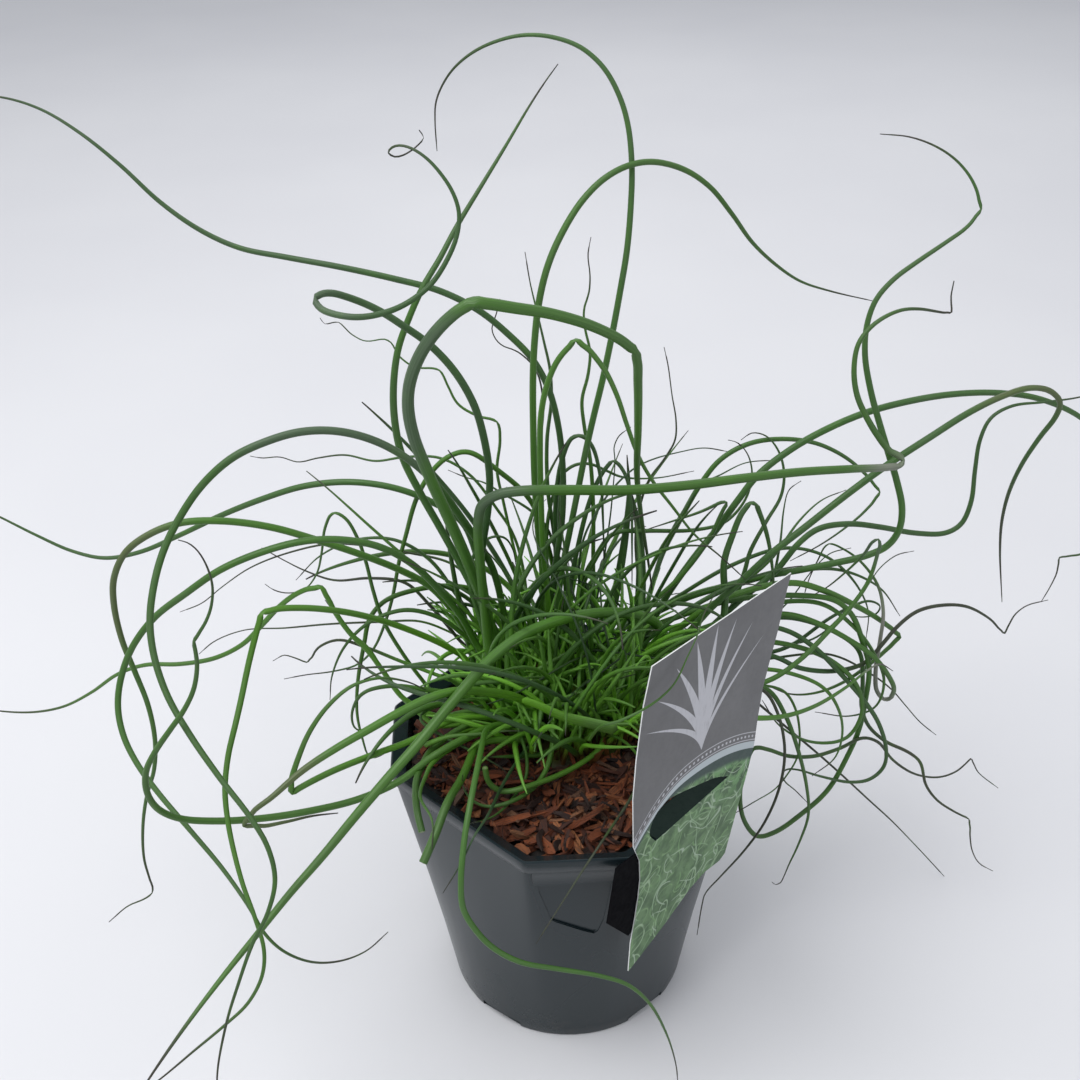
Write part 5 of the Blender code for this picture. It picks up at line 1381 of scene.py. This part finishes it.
# Painted shade: how much the shoots at the crown's front are darkened.
TUFT_FRONT_PAINTED_SHADE = 0.35
TUFT_CURL = (5, 30)
TUFT_DROOP = (0, 7)
TUFT_LEAN = (0.1, 0.8)
TUFT_TONE = (0.6, 1.25)
RISER_COUNT = 34
RISER_LENGTH = (0.100, 0.210)
RISER_GIRTH = (1.8, 3.4)
RISER_SEED = 29
RISER_CURL = (3, 15)
RISER_DROOP = (0, 3)
RISER_LEAN = (0.1, 0.7)
RISER_TONE = (0.1, 0.8)
SHEATH_COUNT = 46
SHEATH_SEED = 23
SHEATH_LENGTH = (0.010, 0.026)
SHEATH_RADIUS = (1.2, 2.4)
SHEATH_SIDES = 8
SHEATH_FLAT = 0.3
SHEATH_DEPTH = 0.004
MAT_SIDES = 64
MAT_SEED = 2
CROWN_SEED = 8
MAT_LUMP = 0.0012
MAT_LEVELS = ((SOIL_TOP + GAP, CROWN_RADIUS), (CROWN_TOP - 0.004, CROWN_RADIUS), (CROWN_TOP - 0.001, 0.046),
              (CROWN_TOP + 0.0005, 0.040), (CROWN_TOP + 0.001, 0.030), (CROWN_TOP + 0.001, 0.018),
              (CROWN_TOP + 0.001, 0.006))
GROW_STEP = 0.004
GROW_WANDER = 0.16
GROW_SWAY = 0.18
GROW_DEPTH = 0.003
GROW_RADIUS = CROWN_RADIUS * 0.94
BOX_ROOM = 0.002
RIM_CLEARANCE = 0.004


def grow(base, way, length, curl, droop, chance):
    """A path that wanders as it grows: it curls at a slowly changing rate and droops a little."""
    spots = [np.array(base)]
    way = np.array(way) / np.linalg.norm(way)
    axis = np.cross(way, chance.normal(size=3))
    axis /= np.linalg.norm(axis)
    for _ in range(int(length / GROW_STEP)):
        axis = axis + chance.normal(size=3) * GROW_WANDER
        axis -= way * (axis @ way)
        axis /= np.linalg.norm(axis)
        way = way + np.cross(axis, way) * curl * GROW_STEP - UP * droop * GROW_STEP
        way /= np.linalg.norm(way)
        spots.append(spots[-1] + way * GROW_STEP)
    return np.array(spots)


def crown_point(angle, radius, depth):
    """A point of the crown this far below its top, and the way out to its edge there."""
    out = np.array([math.cos(angle), math.sin(angle), 0.0])
    return np.array([*CROWN_CENTRE, CROWN_TOP - depth]) + out * radius, out


def within(path, low, high):
    """Whether the path is in the crown's box, behind the label, and above the rim once off the crown."""
    start, _, outward = side_arrays()
    over = path[:, 2] > POT_HEIGHT + RIM_CLEARANCE
    near_crown = np.hypot(path[:, 0] - CROWN_CENTRE[0], path[:, 1] - CROWN_CENTRE[1]) < CROWN_RADIUS
    behind = (path - start) @ outward < -RIM_CLEARANCE
    boxed = ((path > low + BOX_ROOM) & (path < high - BOX_ROOM)).all()
    return boxed and (over | near_crown).all() and behind.all()


def grown_paths(count, seed, lengths, curls, droops, angles, leans):
    """Paths that rise from the crown, leaning outwards the more the nearer they stand to its edge."""
    chance = np.random.RandomState(seed)
    low, high = (np.array(corner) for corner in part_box("crown"))
    made = []
    while len(made) < count:
        angle = angles(chance)
        radius = GROW_RADIUS * math.sqrt(chance.uniform())
        base, out = crown_point(angle, radius, GROW_DEPTH)
        lean = out * chance.uniform(*leans) * radius / CROWN_RADIUS
        lean = lean + chance.normal(0, GROW_SWAY, 3) * (1, 1, 0)
        path = grow(base, lean + UP, chance.uniform(*lengths), chance.uniform(*curls),
                    chance.uniform(*droops), chance)
        if within(path[3:], low, high):
            made.append(path)
    return made


def shoot_radii(path, girth):
    """Nearly full girth for half of the way, then thinner to the tip."""
    share = np.linspace(0, 1, len(path))
    return girth / 2 * MM * (1 - 0.15 * share - 0.62 * np.clip((share - 0.5) / 0.5, 0, 1) ** 2)


def add_mat(bm, layers):
    """The dome of old sheaths and roots."""
    chance = np.random.RandomState(MAT_SEED)
    levels = []
    for z, radius in MAT_LEVELS:
        level = []
        for side in range(MAT_SIDES):
            reach = radius * (1 - 0.02 * chance.uniform())
            lump = chance.uniform(-MAT_LUMP, 0.0) if z > CROWN_TOP - 0.005 else 0.0
            x, y, _ = round_point(reach, 2 * math.pi * side / MAT_SIDES)
            level.append(bm.verts.new((CROWN_CENTRE[0] + x, CROWN_CENTRE[1] + y, z + lump)))
        levels.append(level)
    bridge_stack(bm, levels)
    bm.faces.new(list(reversed(levels[0])))
    bm.faces.new(levels[-1])
    for level in levels:
        for vert in level:
            brown = np.array(SHEATH_BROWN) * chance.uniform(0.2, 0.7)
            vert[layers[0]] = (*(brown + np.array(BASE_YELLOW) * chance.uniform(0, 0.3)), 1.0)


def add_sheaths(bm, layers):
    """Dry papery sheaths that stand among the stems' feet."""
    chance = np.random.RandomState(SHEATH_SEED)
    for _ in range(SHEATH_COUNT):
        angle = chance.uniform(0, 2 * math.pi)
        base, out = crown_point(angle, CROWN_RADIUS * chance.uniform(0.6, 0.98), SHEATH_DEPTH)
        path = grow(base, out * 0.35 + UP + chance.normal(0, 0.2, 3) * (1, 1, 0),
                    chance.uniform(*SHEATH_LENGTH), chance.uniform(0, 20), 6.0, chance)
        share = np.linspace(0, 1, len(path))
        radii = chance.uniform(*SHEATH_RADIUS) * MM * (1 - 0.85 * share ** 1.6)
        colour = np.array(SHEATH_BROWN) * chance.uniform(0.6, 2.2) + np.array([0.02, 0.008, 0.0])
        path, radii = fine_path(path, radii)
        add_stem(bm, layers, path, radii, SHEATH_SIDES, np.tile(colour, (len(path), 1)), SHEATH_FLAT)


def add_blade(bm, layers, chance):
    """The stem that is pressed flat and cut off square, lying on the tuft."""
    path = even_steps(route_in_space(BLADE), BLADE_STEP)
    radii = np.linspace(*BLADE_GIRTH, len(path)) / 2 * MM
    # Painted light laid on the flat stem's colours.
    colours = stem_colours(path, BLADE_TONE, True, chance, grown=0.2) * BLADE_PAINTED_LIGHT
    add_stem(bm, layers, path, radii, BLADE_SIDES, colours, BLADE_FLAT)


def all_round(chance):
    return chance.uniform(0, 2 * math.pi)


def make_crown():
    chance = np.random.RandomState(CROWN_SEED)
    bm = bmesh.new()
    layers = stem_layers(bm)
    add_mat(bm, layers)
    add_sheaths(bm, layers)
    add_blade(bm, layers, chance)
    for kind, name, blunt, path, radii, _ in PLAN:
        if kind == "joined":
            tone = TONES.get(name, chance.uniform(0.4, 1.0))
            colours = stem_colours(path, tone, blunt, chance, WITHERS.get(name, 1.0))
            add_stem(bm, layers, path, radii, THIN_TUBE_SIDES, colours)
    for path in grown_paths(TUFT_COUNT, TUFT_SEED, TUFT_LENGTH, TUFT_CURL, TUFT_DROOP, all_round, TUFT_LEAN):
        # Painted shade darkens the front shoots, and painted light brightens the whole tuft.
        front = min(1.0, max(0.0, (CROWN_CENTRE[1] - path[0][1]) / CROWN_RADIUS))
        path, radii = fine_path(path, shoot_radii(path, chance.uniform(*TUFT_GIRTH)))
        colours = stem_colours(path, chance.uniform(*TUFT_TONE), True, chance) * TUFT_PAINTED_LIGHT
        add_stem(bm, layers, path, radii, TUFT_SIDES, colours * (1 - TUFT_FRONT_PAINTED_SHADE * front))
    for path in grown_paths(RISER_COUNT, RISER_SEED, RISER_LENGTH, RISER_CURL, RISER_DROOP, all_round,
                            RISER_LEAN):
        path, radii = fine_path(path, shoot_radii(path, chance.uniform(*RISER_GIRTH)))
        colours = stem_colours(path, chance.uniform(*RISER_TONE), False, chance)
        add_stem(bm, layers, path, radii, THIN_TUBE_SIDES, colours)
    hand_over(finished("rush_crown", bm, RUSH, STEM_SHARP_ANGLE), "crown")


make_crown()

# Fine stems. The thinner round stems of the tangle and dark hair-like curls, one piece that grows from the
# crown. A row is the girth in mm, how round the stem is, how fresh its green is, and its route's points.
MORE_STEMS = (
    (2.6, 1.0, 0.5, (590, 565, 70), (613, 534), (644, 531), (694, 530), (725, 522), (745, 500), (752, 475),
        (748, 455), (738, 443), (728, 440, 95)),
    (2.7, 1.0, 0.4, (735, 600, 60), (745, 570), (750, 552), (766, 522), (781, 496), (784, 472), (778, 450),
        (766, 436), (752, 433), (741, 440, 100)),
    (2.2, 1.0, 0.3, (758, 605, 60), (772, 580), (780, 544), (784, 508), (789, 490), (801, 481, 95)),
    (4.0, 1.0, 0.3, (722, 640, 40), (725, 600), (724, 563), (733, 534), (742, 513), (752, 502, 60),
        (754, 502, 60), (764, 525), (769, 544), (773, 575, 50), (775, 610, 46)),
    (2.8, 1.0, 0.4, (655, 600, 60), (680, 577), (709, 539), (722, 512), (727, 502, 70), (726, 501, 70),
        (700, 512), (670, 522), (642, 531, 80)),
    (6.2, 0.4, 0.2, (640, 608, 66), (641, 570), (639, 535), (634, 505), (628, 484, 88)),
    (5.0, 0.5, 0.3, (612, 612, 66), (620, 570), (626, 530), (629, 490), (627, 455, 92)),
    (1.3, 1.0, 0.0, (592, 520, 70), (610, 492), (632, 470), (651, 460), (680, 452), (704, 448),
        (730, 452, 110)),
    (1.5, 1.0, 0.2, (648, 600, 60), (660, 560), (672, 530), (690, 500), (700, 485), (720, 475), (745, 463),
        (775, 460, 110)),
    (2.2, 1.0, 0.5, (552, 500, 84), (560, 477), (575, 465), (590, 464), (605, 470), (622, 477), (656, 478),
        (694, 471, 110)),
    (2.6, 1.0, 0.2, (800, 640, 66), (830, 618), (855, 605), (869, 601), (880, 606), (876, 614), (860, 617),
        (840, 612, 82)),
    (2.8, 1.0, 0.9, (430, 722, 0), (405, 700), (385, 675), (368, 648), (352, 634), (340, 620),
        (325, 600, 40)),
    (2.0, 1.0, 0.4, (560, 560, 80), (545, 525), (530, 510), (500, 492), (485, 483), (465, 477),
        (448, 470, 95)),
    (2.4, 1.0, 0.4, (480, 620, 30), (470, 585), (472, 560), (480, 545), (492, 537), (505, 538), (513, 550),
        (516, 566, 50)),
    (2.6, 1.0, 0.7, (428, 770, -42), (420, 796, -64), (432, 820, -80), (432, 850, -92)),
    (1.7, 1.0, 0.0, (500, 790, -50), (488, 815, -78), (475, 835, -92), (460, 865, -99), (443, 893, -106)),
    (2.6, 1.0, 0.6, (430, 690, 0), (390, 686), (362, 694, -10), (352, 713), (355, 728), (366, 732),
        (381, 727, -8)),
    (2.9, 1.0, 0.3, (548, 620, 70), (556, 560), (560, 500), (563, 440, 104)),
    (2.8, 0.8, 0.2, (568, 600, 66), (575, 560), (590, 500), (603, 472), (613, 461, 90), (615, 461, 90),
        (625, 474), (631, 501), (632, 544), (632, 590, 60)),
    (1.1, 1.0, 0.0, (612, 500, 92), (615, 460), (614, 448), (619, 436), (631, 427, 106)),
    (2.9, 1.0, 0.2, (556, 560, 80), (556, 500), (562, 460), (572, 438), (582, 436), (592, 446), (600, 475),
        (603, 520), (604, 570, 70)),
    (2.8, 1.0, 0.9, (428, 744, -20), (448, 737), (480, 734), (505, 731), (523, 731, -26)),
    (3.0, 1.0, 0.5, (560, 735, -6), (548, 752), (520, 756), (486, 757, -30)),
    (2.8, 1.0, 0.9, (535, 672, 10), (544, 666), (580, 645), (602, 622, 24)),
    (3.2, 1.0, 0.8, (530, 700, 2), (552, 676), (575, 650), (592, 628, 20)),
    (2.8, 1.0, 0.8, (540, 702, 0), (580, 697), (615, 680), (636, 674, 0)),
    (3.2, 1.0, 0.7, (560, 724, -4), (575, 708), (592, 700), (620, 688), (640, 681, 6)),
    (3.4, 1.0, 0.6, (636, 618, 44), (636, 640), (642, 655), (654, 668, 34)),
    (1.2, 1.0, 0.0, (790, 600, 70), (817, 565), (831, 553), (851, 548, 95)),
    (2.8, 1.0, 0.5, (670, 640, 40), (720, 622), (775, 603, 60), (822, 604), (853, 626), (872, 650),
        (884, 680), (876, 706), (850, 716), (815, 712, 44)),
    (3.0, 1.0, 0.6, (668, 650, 40), (730, 640), (790, 645, 50), (830, 660), (856, 684), (862, 712),
        (846, 738), (812, 742), (780, 726), (762, 700, 24)),
    (2.4, 1.0, 0.3, (672, 600, 70), (730, 566), (785, 548, 84), (825, 556), (853, 580), (868, 610),
        (866, 640, 80)),
    (2.6, 1.0, 0.4, (670, 620, 60), (725, 590), (790, 572, 78), (840, 570), (880, 588), (900, 616, 90)),
    (2.6, 1.0, 0.7, (668, 668, 26), (730, 668), (785, 672, 34), (826, 690), (842, 722), (836, 756),
        (812, 776, 20)),
    (2.2, 1.0, 0.5, (665, 640, 54), (720, 600), (770, 560, 70), (800, 520), (822, 500), (846, 490, 100)),
    (2.6, 1.0, 0.5, (470, 640, 40), (440, 618), (405, 610), (370, 622), (345, 646), (332, 676),
        (330, 700, 20)),
    (2.2, 1.0, 0.3, (460, 600, 60), (430, 560), (395, 540), (355, 540), (320, 556), (296, 580, 80)),
)
WISP_COUNT = 18
WISP_LENGTH = (0.090, 0.200)
WISP_GIRTH = (0.9, 1.5)
WISP_SEED = 17
WISP_CURL = (12, 38)
WISP_DROOP = (0, 8)
WISP_LEAN = (0.4, 1.4)
WISP_TONE = (0, 0.4)
WISP_DARKNESS = 0.6
WISP_SIDES = 6
FINE_SIDES = 10
FINE_REACH = 0.8
FINE_FOOT = CROWN_TOP - 0.002
FINE_SEED = 9


def mostly_right(chance):
    return chance.normal(0.3, 1.0)


def make_fine_stems():
    chance = np.random.RandomState(FINE_SEED)
    bm = bmesh.new()
    layers = stem_layers(bm)
    for girth, flat, tone, *route in MORE_STEMS:
        course = route_in_space(route)
        way = course[0][:2] - CROWN_CENTRE
        slot = np.array(CROWN_CENTRE) + way * min(1.0, FINE_REACH * CROWN_RADIUS / np.linalg.norm(way))
        path = rooted_path(slot, FINE_FOOT, course)
        path, radii = fine_path(path, stem_radii(path, girth, False))
        add_stem(bm, layers, path, radii, FINE_SIDES, stem_colours(path, tone, False, chance), flat)
    for path in grown_paths(WISP_COUNT, WISP_SEED, WISP_LENGTH, WISP_CURL, WISP_DROOP, mostly_right,
                            WISP_LEAN):
        path, radii = fine_path(path, stem_radii(path, chance.uniform(*WISP_GIRTH), False))
        dark = stem_colours(path, chance.uniform(*WISP_TONE), False, chance) * WISP_DARKNESS
        add_stem(bm, layers, path, radii, WISP_SIDES, dark)
    fine = finished("rush_fine_stems", bm, RUSH, STEM_SHARP_ANGLE)
    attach(fine, "root")


make_fine_stems()

# Label. One printed plastic card that hangs on the rim by a tongue cut out of it. Its print is a generic
# design: a silver fan of blades on dark grey over a row of dots, a pale stripe, and pale curls on green.
CARD_THICKNESS = 0.0006
CARD_WINDOW = ((14, 2), (9, 11), (13, 20), (22, 23), (31, 21), (41, 17.5), (52, 13.5), (62, 9.5), (74, 2))
CARD_SHARP_ANGLE = 30
TONGUE_SPAN = (16, 72)
TONGUE_SILL = 0.8
TONGUE_REACH = 0.0105
TONGUE_DROP = 0.0045
LABEL_OUTLINE = (
    (6, 115), (115, 107), (112, 96), (108, 76), (103, 59), (99, 44), (97, 26), (96, 9), (92, -7), (84, -33),
    (77, -56), (72, -58), (59, -56), (46, -58), (26, -67), (9, -73), (-4, -77), (-3, -57), (0, -41),
    (2, -28), (3, -16), (2, -2), (-3, 11), (-4.5, 43), (-3, 66), (1, 96)
)
# Painted shade: a black sheet just behind the card, out past its left edge, stands in for the card's dark
# shade and reflection on the pot.
LABEL_SHADE_SHEET = ((1, 4), (-15, 6), (-21, -27), (-4, -51), (3, -48), (3, -10))
FAN_FOOT = (48.0, 38.0)
FAN_BLADES = ((-45, 40, 6.4), (-37, 54, 7.2), (-24, 65, 8.0), (-9, 71, 8.6), (7, 72, 8.6), (22, 67, 8.0),
              (36, 57, 7.2), (47, 43, 6.4))
STRIPE_PEAK = (36.0, 29.5)
STRIPE_DEPTH = (2.6, 4.6)
BAND_DEPTH = (2.0, 7.0)
DOT_SPACING = 3.4
DOT_HEIGHT = 3.6
DOT_EDGE = (0.95, 0.70)
RULE_HEIGHTS = (6.2, 1.2)
RULE_EDGE = (0.38, 0.18)
CURLS = ((0.4, 5.0, 0.42, (0.15, 0.29, 0.11)), (1.7, 6.5, 0.34, (0.20, 0.34, 0.17)),
         (2.9, 4.2, 0.48, (0.27, 0.40, 0.24)), (4.3, 7.5, 0.30, (0.19, 0.33, 0.14)),
         (5.2, 5.6, 0.38, (0.34, 0.45, 0.32)), (3.6, 4.8, 0.26, (0.30, 0.43, 0.26)))
SHADE_SHEET_OFF = (0.0007, 0.0002)
CARD_GREY = (0.114, 0.114, 0.117)
CARD_SILVER = (0.52, 0.52, 0.55)
CARD_PALE = (0.46, 0.52, 0.54)
CARD_GREEN = (0.042, 0.106, 0.034)
CARD_SHADE = (0.012, 0.060, 0.014)
CARD_FRESH = (0.140, 0.320, 0.110)
CARD_WHITE = (0.75, 0.76, 0.75)
# Painted shade: the black of the sheet beside the card.
CARD_SHADE_BLACK = (0.002, 0.002, 0.003)
CARD_CHARCOAL = (0.014, 0.015, 0.016)
# Painted shade: the dark teal of the tongue and the window's walls, as they look in shade.
CARD_TONGUE_SHADE = (0.008, 0.017, 0.014)
BAND_TEAL = (0.014, 0.045, 0.036)
PRINT_UNIT = 100.0

# The card's plain parts in the order of their materials, which follow the print: colour, roughness, shine
PRINT_PART, EDGE_PART, BACK_PART, TONGUE_SHADE_PART, SHADE_SHEET_PART = range(5)
CARD_PARTS = (("edge", CARD_WHITE, 0.5, 0.4), ("back", CARD_CHARCOAL, 0.5, 0.3),
              ("tongue", CARD_TONGUE_SHADE, 0.45, 0.12), ("shade_sheet", CARD_SHADE_BLACK, 0.6, 0.03))


def blade_mark(nodes, across, up, lean, height, width):
    """One arching blade of the fan, as a mask."""
    share = nodes.math("DIVIDE", nodes.minus(up, FAN_FOOT[1]), float(height))
    held = nodes.math("MINIMUM", nodes.most(share, 0.0), 1.0)
    line = nodes.math("MULTIPLY_ADD", nodes.math("POWER", held, 1.8), float(lean), FAN_FOOT[0])
    off = nodes.math("ABSOLUTE", nodes.minus(across, line))
    half = nodes.times(nodes.times(nodes.math("POWER", held, 0.7), nodes.minus(1.0, held)), float(width))
    inside = nodes.times(nodes.math("GREATER_THAN", share, 0.0), nodes.math("LESS_THAN", share, 1.0))
    return nodes.times(nodes.band(nodes.minus(half, off), -0.12, 0.12), inside)


def curl_mark(nodes, own, turn, scale, radius):
    """Thin loops round scattered places, drawn long and bent, that come and go, as a mask."""
    turned = nodes.add("ShaderNodeMapping", Vector=own, Rotation=(0, 0, turn), Location=(turn, turn * 0.7, 0))
    drift = nodes.add("ShaderNodeTexNoise", 1, Vector=turned, Scale=4.5, Detail=0.5)
    move = {"operation": "MULTIPLY_ADD"}
    bent = nodes.add("ShaderNodeVectorMath", 0, move, i0=drift, i1=(0.20, 0.20, 0), i2=turned)
    cell = nodes.add("ShaderNodeTexVoronoi", settings={"voronoi_dimensions": "2D"},
                     Vector=nodes.stretch(bent, (1.0, 0.55, 1.0)), Scale=scale)
    off = nodes.math("ABSOLUTE", nodes.minus(cell, radius))
    fade = nodes.band(nodes.noise(turned, 9.0, 1.0), 0.40, 0.52)
    return nodes.times(nodes.band(off, 0.026, 0.010), fade)


def fan_and_dots(nodes, across, up, above):
    """The silver marks, as a mask: the fan of blades, and the row of dots between two rules."""
    marks = 0.0
    for lean, height, width in FAN_BLADES:
        marks = nodes.most(marks, blade_mark(nodes, across, up, lean, height, width))
    beside = nodes.minus(nodes.math("FRACT", nodes.math("DIVIDE", across, DOT_SPACING)), 0.5)
    beside = nodes.times(beside, DOT_SPACING)
    over = nodes.minus(above, DOT_HEIGHT)
    from_dot = nodes.math("SQRT", nodes.plus(nodes.times(beside, beside), nodes.times(over, over)))
    marks = nodes.most(marks, nodes.band(from_dot, *DOT_EDGE))
    for height in RULE_HEIGHTS:
        rule = nodes.math("ABSOLUTE", nodes.minus(above, height))
        marks = nodes.most(marks, nodes.band(rule, *RULE_EDGE))
    return marks


def leafy_field(nodes, own, across, past_band):
    """The mottled green under the band, freshest just below it, with its pale curls."""
    green = nodes.tinge(CARD_GREEN, (0.110, 0.215, 0.085), nodes.noise(own, 9.0, 4.0), 0.35, 0.66)
    green = nodes.tinge(green, (0.030, 0.080, 0.028), nodes.noise(own, 16.0, 3.0), 0.55, 0.72, 0.6)
    fresh = nodes.tinge(CARD_SHADE, CARD_FRESH, nodes.noise(own, 13.0, 4.0), 0.42, 0.58)
    near_band = nodes.times(nodes.band(past_band, 32.0, 6.0), nodes.band(across, 30.0, 58.0))
    green = nodes.mix(nodes.times(near_band, 0.9), green, fresh)
    for turn, scale, radius, shade in CURLS:
        curls = curl_mark(nodes, own, turn, scale, radius)
        green = nodes.mix(nodes.times(curls, 0.85), green, shade)
    return green


def card_print():
    """The front's print. The card's own coordinates are millimetres along it and up from the rim."""
    nodes = Nodes("label_print", 0.36)
    own, place = nodes.coords("UV"), nodes.coords()
    across, up = (nodes.times(nodes.add("ShaderNodeSeparateXYZ", axis, Vector=own), PRINT_UNIT)
                  for axis in range(2))
    from_peak = nodes.minus(across, STRIPE_PEAK[0])
    fall = nodes.times(nodes.times(from_peak, from_peak), nodes.band(from_peak, -4.0, 4.0, 0.0130, 0.0051))
    above = nodes.minus(up, nodes.minus(STRIPE_PEAK[1], fall))
    grey = nodes.tinge(CARD_GREY, (0.136, 0.136, 0.139), nodes.noise(own, 3.0, 3.0), 0.3, 0.7)
    brushed = nodes.noise(nodes.stretch(own, (60.0, 9.0, 1.0)), 1.0, 4.0, 0.7)
    silver = nodes.tinge(CARD_SILVER, (0.30, 0.30, 0.32), brushed, 0.50, 0.72, 0.55)
    colour = nodes.mix(fan_and_dots(nodes, across, up, above), grey, silver)
    below = nodes.times(above, -1.0)
    past_stripe = nodes.minus(below, nodes.band(across, 0.0, 60.0, *STRIPE_DEPTH))
    past_band = nodes.minus(past_stripe, nodes.band(across, 10.0, 70.0, *BAND_DEPTH))
    colour = nodes.tinge(colour, CARD_PALE, below, -0.15, 0.15)
    colour = nodes.tinge(colour, BAND_TEAL, past_stripe, -0.15, 0.15)
    colour = nodes.tinge(colour, leafy_field(nodes, own, across, past_band), past_band, -2.0, 2.5)
    scuff = nodes.noise(place, 260.0, 4.0, 0.7)
    colour = nodes.tinge(colour, (0.20, 0.20, 0.19), scuff, 0.62, 0.80, 0.12)
    return nodes.done(Base_Color=colour, Roughness=nodes.band(scuff, 0.3, 0.8, 0.30, 0.46),
                      Specular_IOR_Level=0.3, Normal=nodes.bump(nodes.noise(place, 14.0, 2.0), 0.004, 0.35))


def card_plain(name, colour, roughness, shine):
    nodes = Nodes(name, roughness)
    wear = nodes.noise(nodes.coords(), 300.0, 4.0, 0.65)
    worn = tuple(0.6 * part + 0.001 for part in colour)
    return nodes.done(Base_Color=nodes.tinge(colour, worn, wear, 0.45, 0.75, 0.35),
                      Roughness=nodes.band(wear, 0.3, 0.7, roughness, roughness + 0.15),
                      Specular_IOR_Level=shine, Normal=nodes.bump(wear, 0.0002, 0.5))


def card_point(u, v, off):
    start, along, outward = side_frame()
    return start + along * (u * MM) + outward * off + Vector((0, 0, v * MM))


def card_loop(bm, outline, off):
    return [bm.verts.new(card_point(u, v, off)) for u, v in outline]


def fill_between(bm, loops, material_index):
    """A flat face with the first loop as its edge and the others as holes."""
    before = set(bm.faces)
    edges = [bm.edges.get((loop[i - 1], vert)) or bm.edges.new((loop[i - 1], vert))
             for loop in loops for i, vert in enumerate(loop)]
    bmesh.ops.triangle_fill(bm, edges=edges, use_beauty=True)
    for face in set(bm.faces) - before:
        face.material_index = material_index


def wall_between(bm, loops, material_index):
    for face in bridge_stack(bm, loops):
        face.material_index = material_index


def make_label():
    bm = bmesh.new()
    grain = bm.loops.layers.uv.new("print")
    near, far = CARD_OFF_RIM, CARD_OFF_RIM + CARD_THICKNESS
    begin, end = TONGUE_SPAN
    upper = TONGUE_SILL + CARD_THICKNESS / MM
    root = [(begin, TONGUE_SILL), (end, TONGUE_SILL), (end, upper), (begin, upper)]
    arch = [tuple(point) for point in smooth_curve(CARD_WINDOW, 4)]
    edge, window = ([card_loop(bm, outline, off) for off in (near, far)] for outline in (LABEL_OUTLINE, arch))
    bend = [(u, v, -TONGUE_REACH if v > TONGUE_SILL else -TONGUE_REACH + CARD_THICKNESS) for u, v in root]
    tongue = [card_loop(bm, root, near), [bm.verts.new(card_point(*corner)) for corner in bend],
              [bm.verts.new(card_point(u, -TONGUE_DROP / MM, off)) for u, v, off in bend]]
    wall_between(bm, edge, EDGE_PART)
    # The window's walls and the tongue take the dark teal of painted shade.
    wall_between(bm, window, TONGUE_SHADE_PART)
    wall_between(bm, tongue, TONGUE_SHADE_PART)
    bm.faces.new(tongue[-1])
    fill_between(bm, [edge[0], window[0], tongue[0]], BACK_PART)
    fill_between(bm, [edge[1], window[1]], PRINT_PART)
    # Painted shade: a black sheet beside the card's left edge, for the card's dark shade and reflection on
    # the pot.
    shade_sheet = [card_loop(bm, LABEL_SHADE_SHEET, near - off) for off in SHADE_SHEET_OFF]
    wall_between(bm, shade_sheet, SHADE_SHEET_PART)
    for face in shade_sheet:
        fill_between(bm, [face], SHADE_SHEET_PART)
    start, along, _ = side_frame()
    for face in bm.faces:
        for loop in face.loops:
            spot = loop.vert.co - start
            loop[grain].uv = (spot.dot(along) / MM / PRINT_UNIT, spot.z / MM / PRINT_UNIT)
    label = finished("label_card", bm, card_print(), CARD_SHARP_ANGLE)
    for name, colour, roughness, shine in CARD_PARTS:
        label.data.materials.append(card_plain("label_" + name, colour, roughness, shine))
    hand_over(label, "label")


make_label()

# Floor and light. A plain pale floor under a large soft light from the upper left, with a weaker one from
# the right, one from behind and a pale sky. A lamp's row is its place, its aim, its size and its power.
FLOOR_CORNERS = ((-6, -4), (6, -4), (6, 10), (-6, 10))
SKY_COLOUR = (0.90, 0.93, 1.0, 1.0)
SKY_STRENGTH = 0.55
LAMPS = {"key": ((-0.9, -0.3, 2.0), (0.0, 0.0, 0.15), 1.6, 34.0),
         "fill": ((1.6, -0.6, 1.4), (0.0, 0.0, 0.2), 1.6, 6.0),
         "back": ((0.3, 1.8, 1.6), (0.0, 0.0, 0.2), 1.6, 9.0)}


def make_stage():
    nodes = Nodes("floor", 0.7)
    tone = nodes.noise(nodes.coords(), 1.4, 3.0)
    nodes.done(Base_Color=nodes.tinge((0.70, 0.70, 0.72), (0.74, 0.74, 0.755), tone, 0.3, 0.7))
    bm = bmesh.new()
    bm.faces.new([bm.verts.new((x, y, 0.0)) for x, y in FLOOR_CORNERS])
    floor = finished("floor", bm, nodes.material)
    world = bpy.data.worlds.new("studio")
    world.use_nodes = True
    bpy.context.scene.view_settings.view_transform = "Standard"
    sky = world.node_tree.nodes["Background"]
    sky.inputs["Color"].default_value = SKY_COLOUR
    sky.inputs["Strength"].default_value = SKY_STRENGTH
    bpy.context.scene.world = world
    for name, (spot, aim, size, power) in LAMPS.items():
        light = bpy.data.lights.new(name, "AREA")
        light.size = size
        light.energy = power
        lamp = bpy.data.objects.new(name, light)
        lamp.location = spot
        lamp.rotation_euler = (Vector(aim) - Vector(spot)).to_track_quat("-Z", "Y").to_euler()
        bpy.context.scene.collection.objects.link(lamp)


make_stage()
